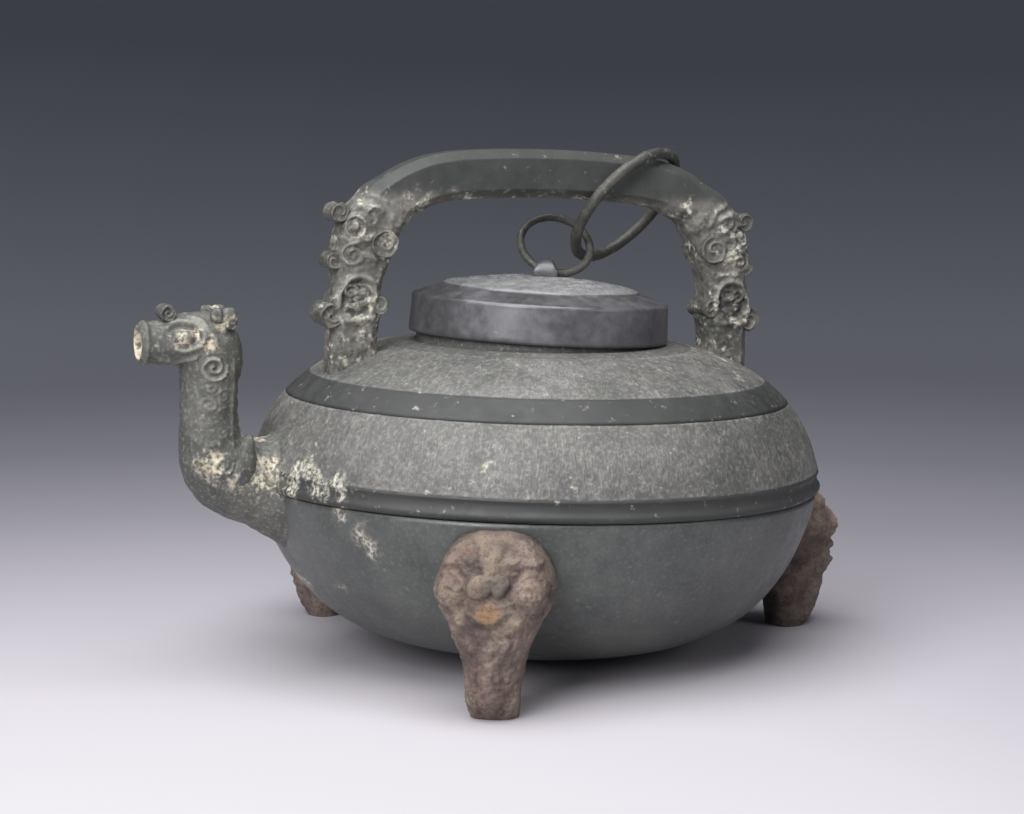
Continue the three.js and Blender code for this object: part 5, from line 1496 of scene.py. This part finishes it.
class VESSEL_OT_lid(bpy.types.Operator):
    """Makes the domed lid and its pierced knob"""
    bl_idname = "vessel.lid"
    bl_label = "Lid"

    def execute(self, context):
        # Cast bronze, handled smooth: dark grey with a soft sheen on its skirt, and a field in paler tones
        # that are painted light from above
        tones = context.scene.vessel_colours
        cast = patinated("Cast bronze, smooth dark lid", ["#515153", tones.lid, "#777679"], ("#a3a3a8", 0.6),
                         ("#4a4b4f", 0.0), tones.crust, 0.5, 0.38, second=["#8a8a8b", "#9d9d9e", "#adadab"],
                         fleck=0.12, pit=0.00006, grit=0.2, smooth_shade=0)
        make_lid(context.scene.vessel_sizes).make("lid_dressed", ["lid"], "bronze_lid", cast)
        return {"FINISHED"}


class VESSEL_OT_rings(bpy.types.Operator):
    """Makes the two linked rings"""
    bl_idname = "vessel.rings"
    bl_label = "Rings"

    def execute(self, context):
        # Cast bronze wire, corroded rough: grey-green with pale pits
        tones = context.scene.vessel_colours
        cast = patinated("Cast bronze, corroded rings", ["#2b2c2b", tones.rings, "#5b5850"], ("#7b7c76", 0.4),
                         ("#4a4c4e", 0.0), tones.crust, 0.2, 0.55, fleck=0.3)
        small, small_normal, large, large_normal = ring_places()
        ring_shell(small, small_normal, LID_RING_RADIUS, LID_RING_WIRE, 161).make(
            "lid_ring_dressed", ["lid_ring"], "bronze_rings", cast)
        ring_shell(large, large_normal, HANDLE_RING_RADIUS, HANDLE_RING_WIRE, 171).make(
            "handle_ring_dressed", ["handle_ring"], "bronze_rings", cast)
        return {"FINISHED"}


class VESSEL_OT_feet(bpy.types.Operator):
    """Makes the three mask feet"""
    bl_idname = "vessel.feet"
    bl_label = "Feet"

    def execute(self, context):
        # Cast iron rusted through: a matt, blistered skin in mauve, tan and orange
        swelling = context.scene.vessel_sizes.rust * MILLIMETRES
        iron = rusted_iron("Cast iron, rusted through", context.scene.vessel_colours.iron)
        for name, azimuth in FOOT_AZIMUTHS.items():
            shells = make_foot(name, math.radians(azimuth), swelling)
            shells.make(f"{name}_dressed", [name], "iron_feet", iron)
        return {"FINISHED"}


class VESSEL_OT_stage(bpy.types.Operator):
    """Makes the floor, the curved backdrop, the soft lights and the camera"""
    bl_idname = "vessel.stage"
    bl_label = "Stage"

    def execute(self, context):
        make_backdrop()
        make_lights()
        make_camera()
        return {"FINISHED"}


class VESSEL_PT_panel(bpy.types.Panel):
    """Sizes, colours and pieces of the vessel"""
    bl_idname = "VESSEL_PT_panel"
    bl_label = "He wine vessel"
    bl_space_type = "VIEW_3D"
    bl_region_type = "UI"
    bl_category = "Vessel"

    def draw(self, context):
        for group in (context.scene.vessel_sizes, context.scene.vessel_colours):
            for key in group.__annotations__:
                self.layout.prop(group, key)
        for operator in PIECES:
            self.layout.operator(operator.bl_idname)


PIECES = (VESSEL_OT_body, VESSEL_OT_spout, VESSEL_OT_handle, VESSEL_OT_lid, VESSEL_OT_rings, VESSEL_OT_feet,
          VESSEL_OT_stage)
CLASSES = (VesselSizes, VesselColours, *PIECES, VESSEL_PT_panel)


def register():
    """Registers every class and hangs the two groups of settings on the scene."""
    for made in CLASSES:
        bpy.utils.register_class(made)
    bpy.types.Scene.vessel_sizes = bpy.props.PointerProperty(type=VesselSizes)
    bpy.types.Scene.vessel_colours = bpy.props.PointerProperty(type=VesselColours)


def unregister():
    """Takes the settings off the scene and the classes out again."""
    del bpy.types.Scene.vessel_colours
    del bpy.types.Scene.vessel_sizes
    for made in reversed(CLASSES):
        bpy.utils.unregister_class(made)


def main():
    """Makes every piece in order."""
    register()
    bpy.ops.vessel.body()
    bpy.ops.vessel.spout()
    bpy.ops.vessel.handle()
    bpy.ops.vessel.lid()
    bpy.ops.vessel.rings()
    bpy.ops.vessel.feet()
    bpy.ops.vessel.stage()


if __name__ == "__main__":
    main()
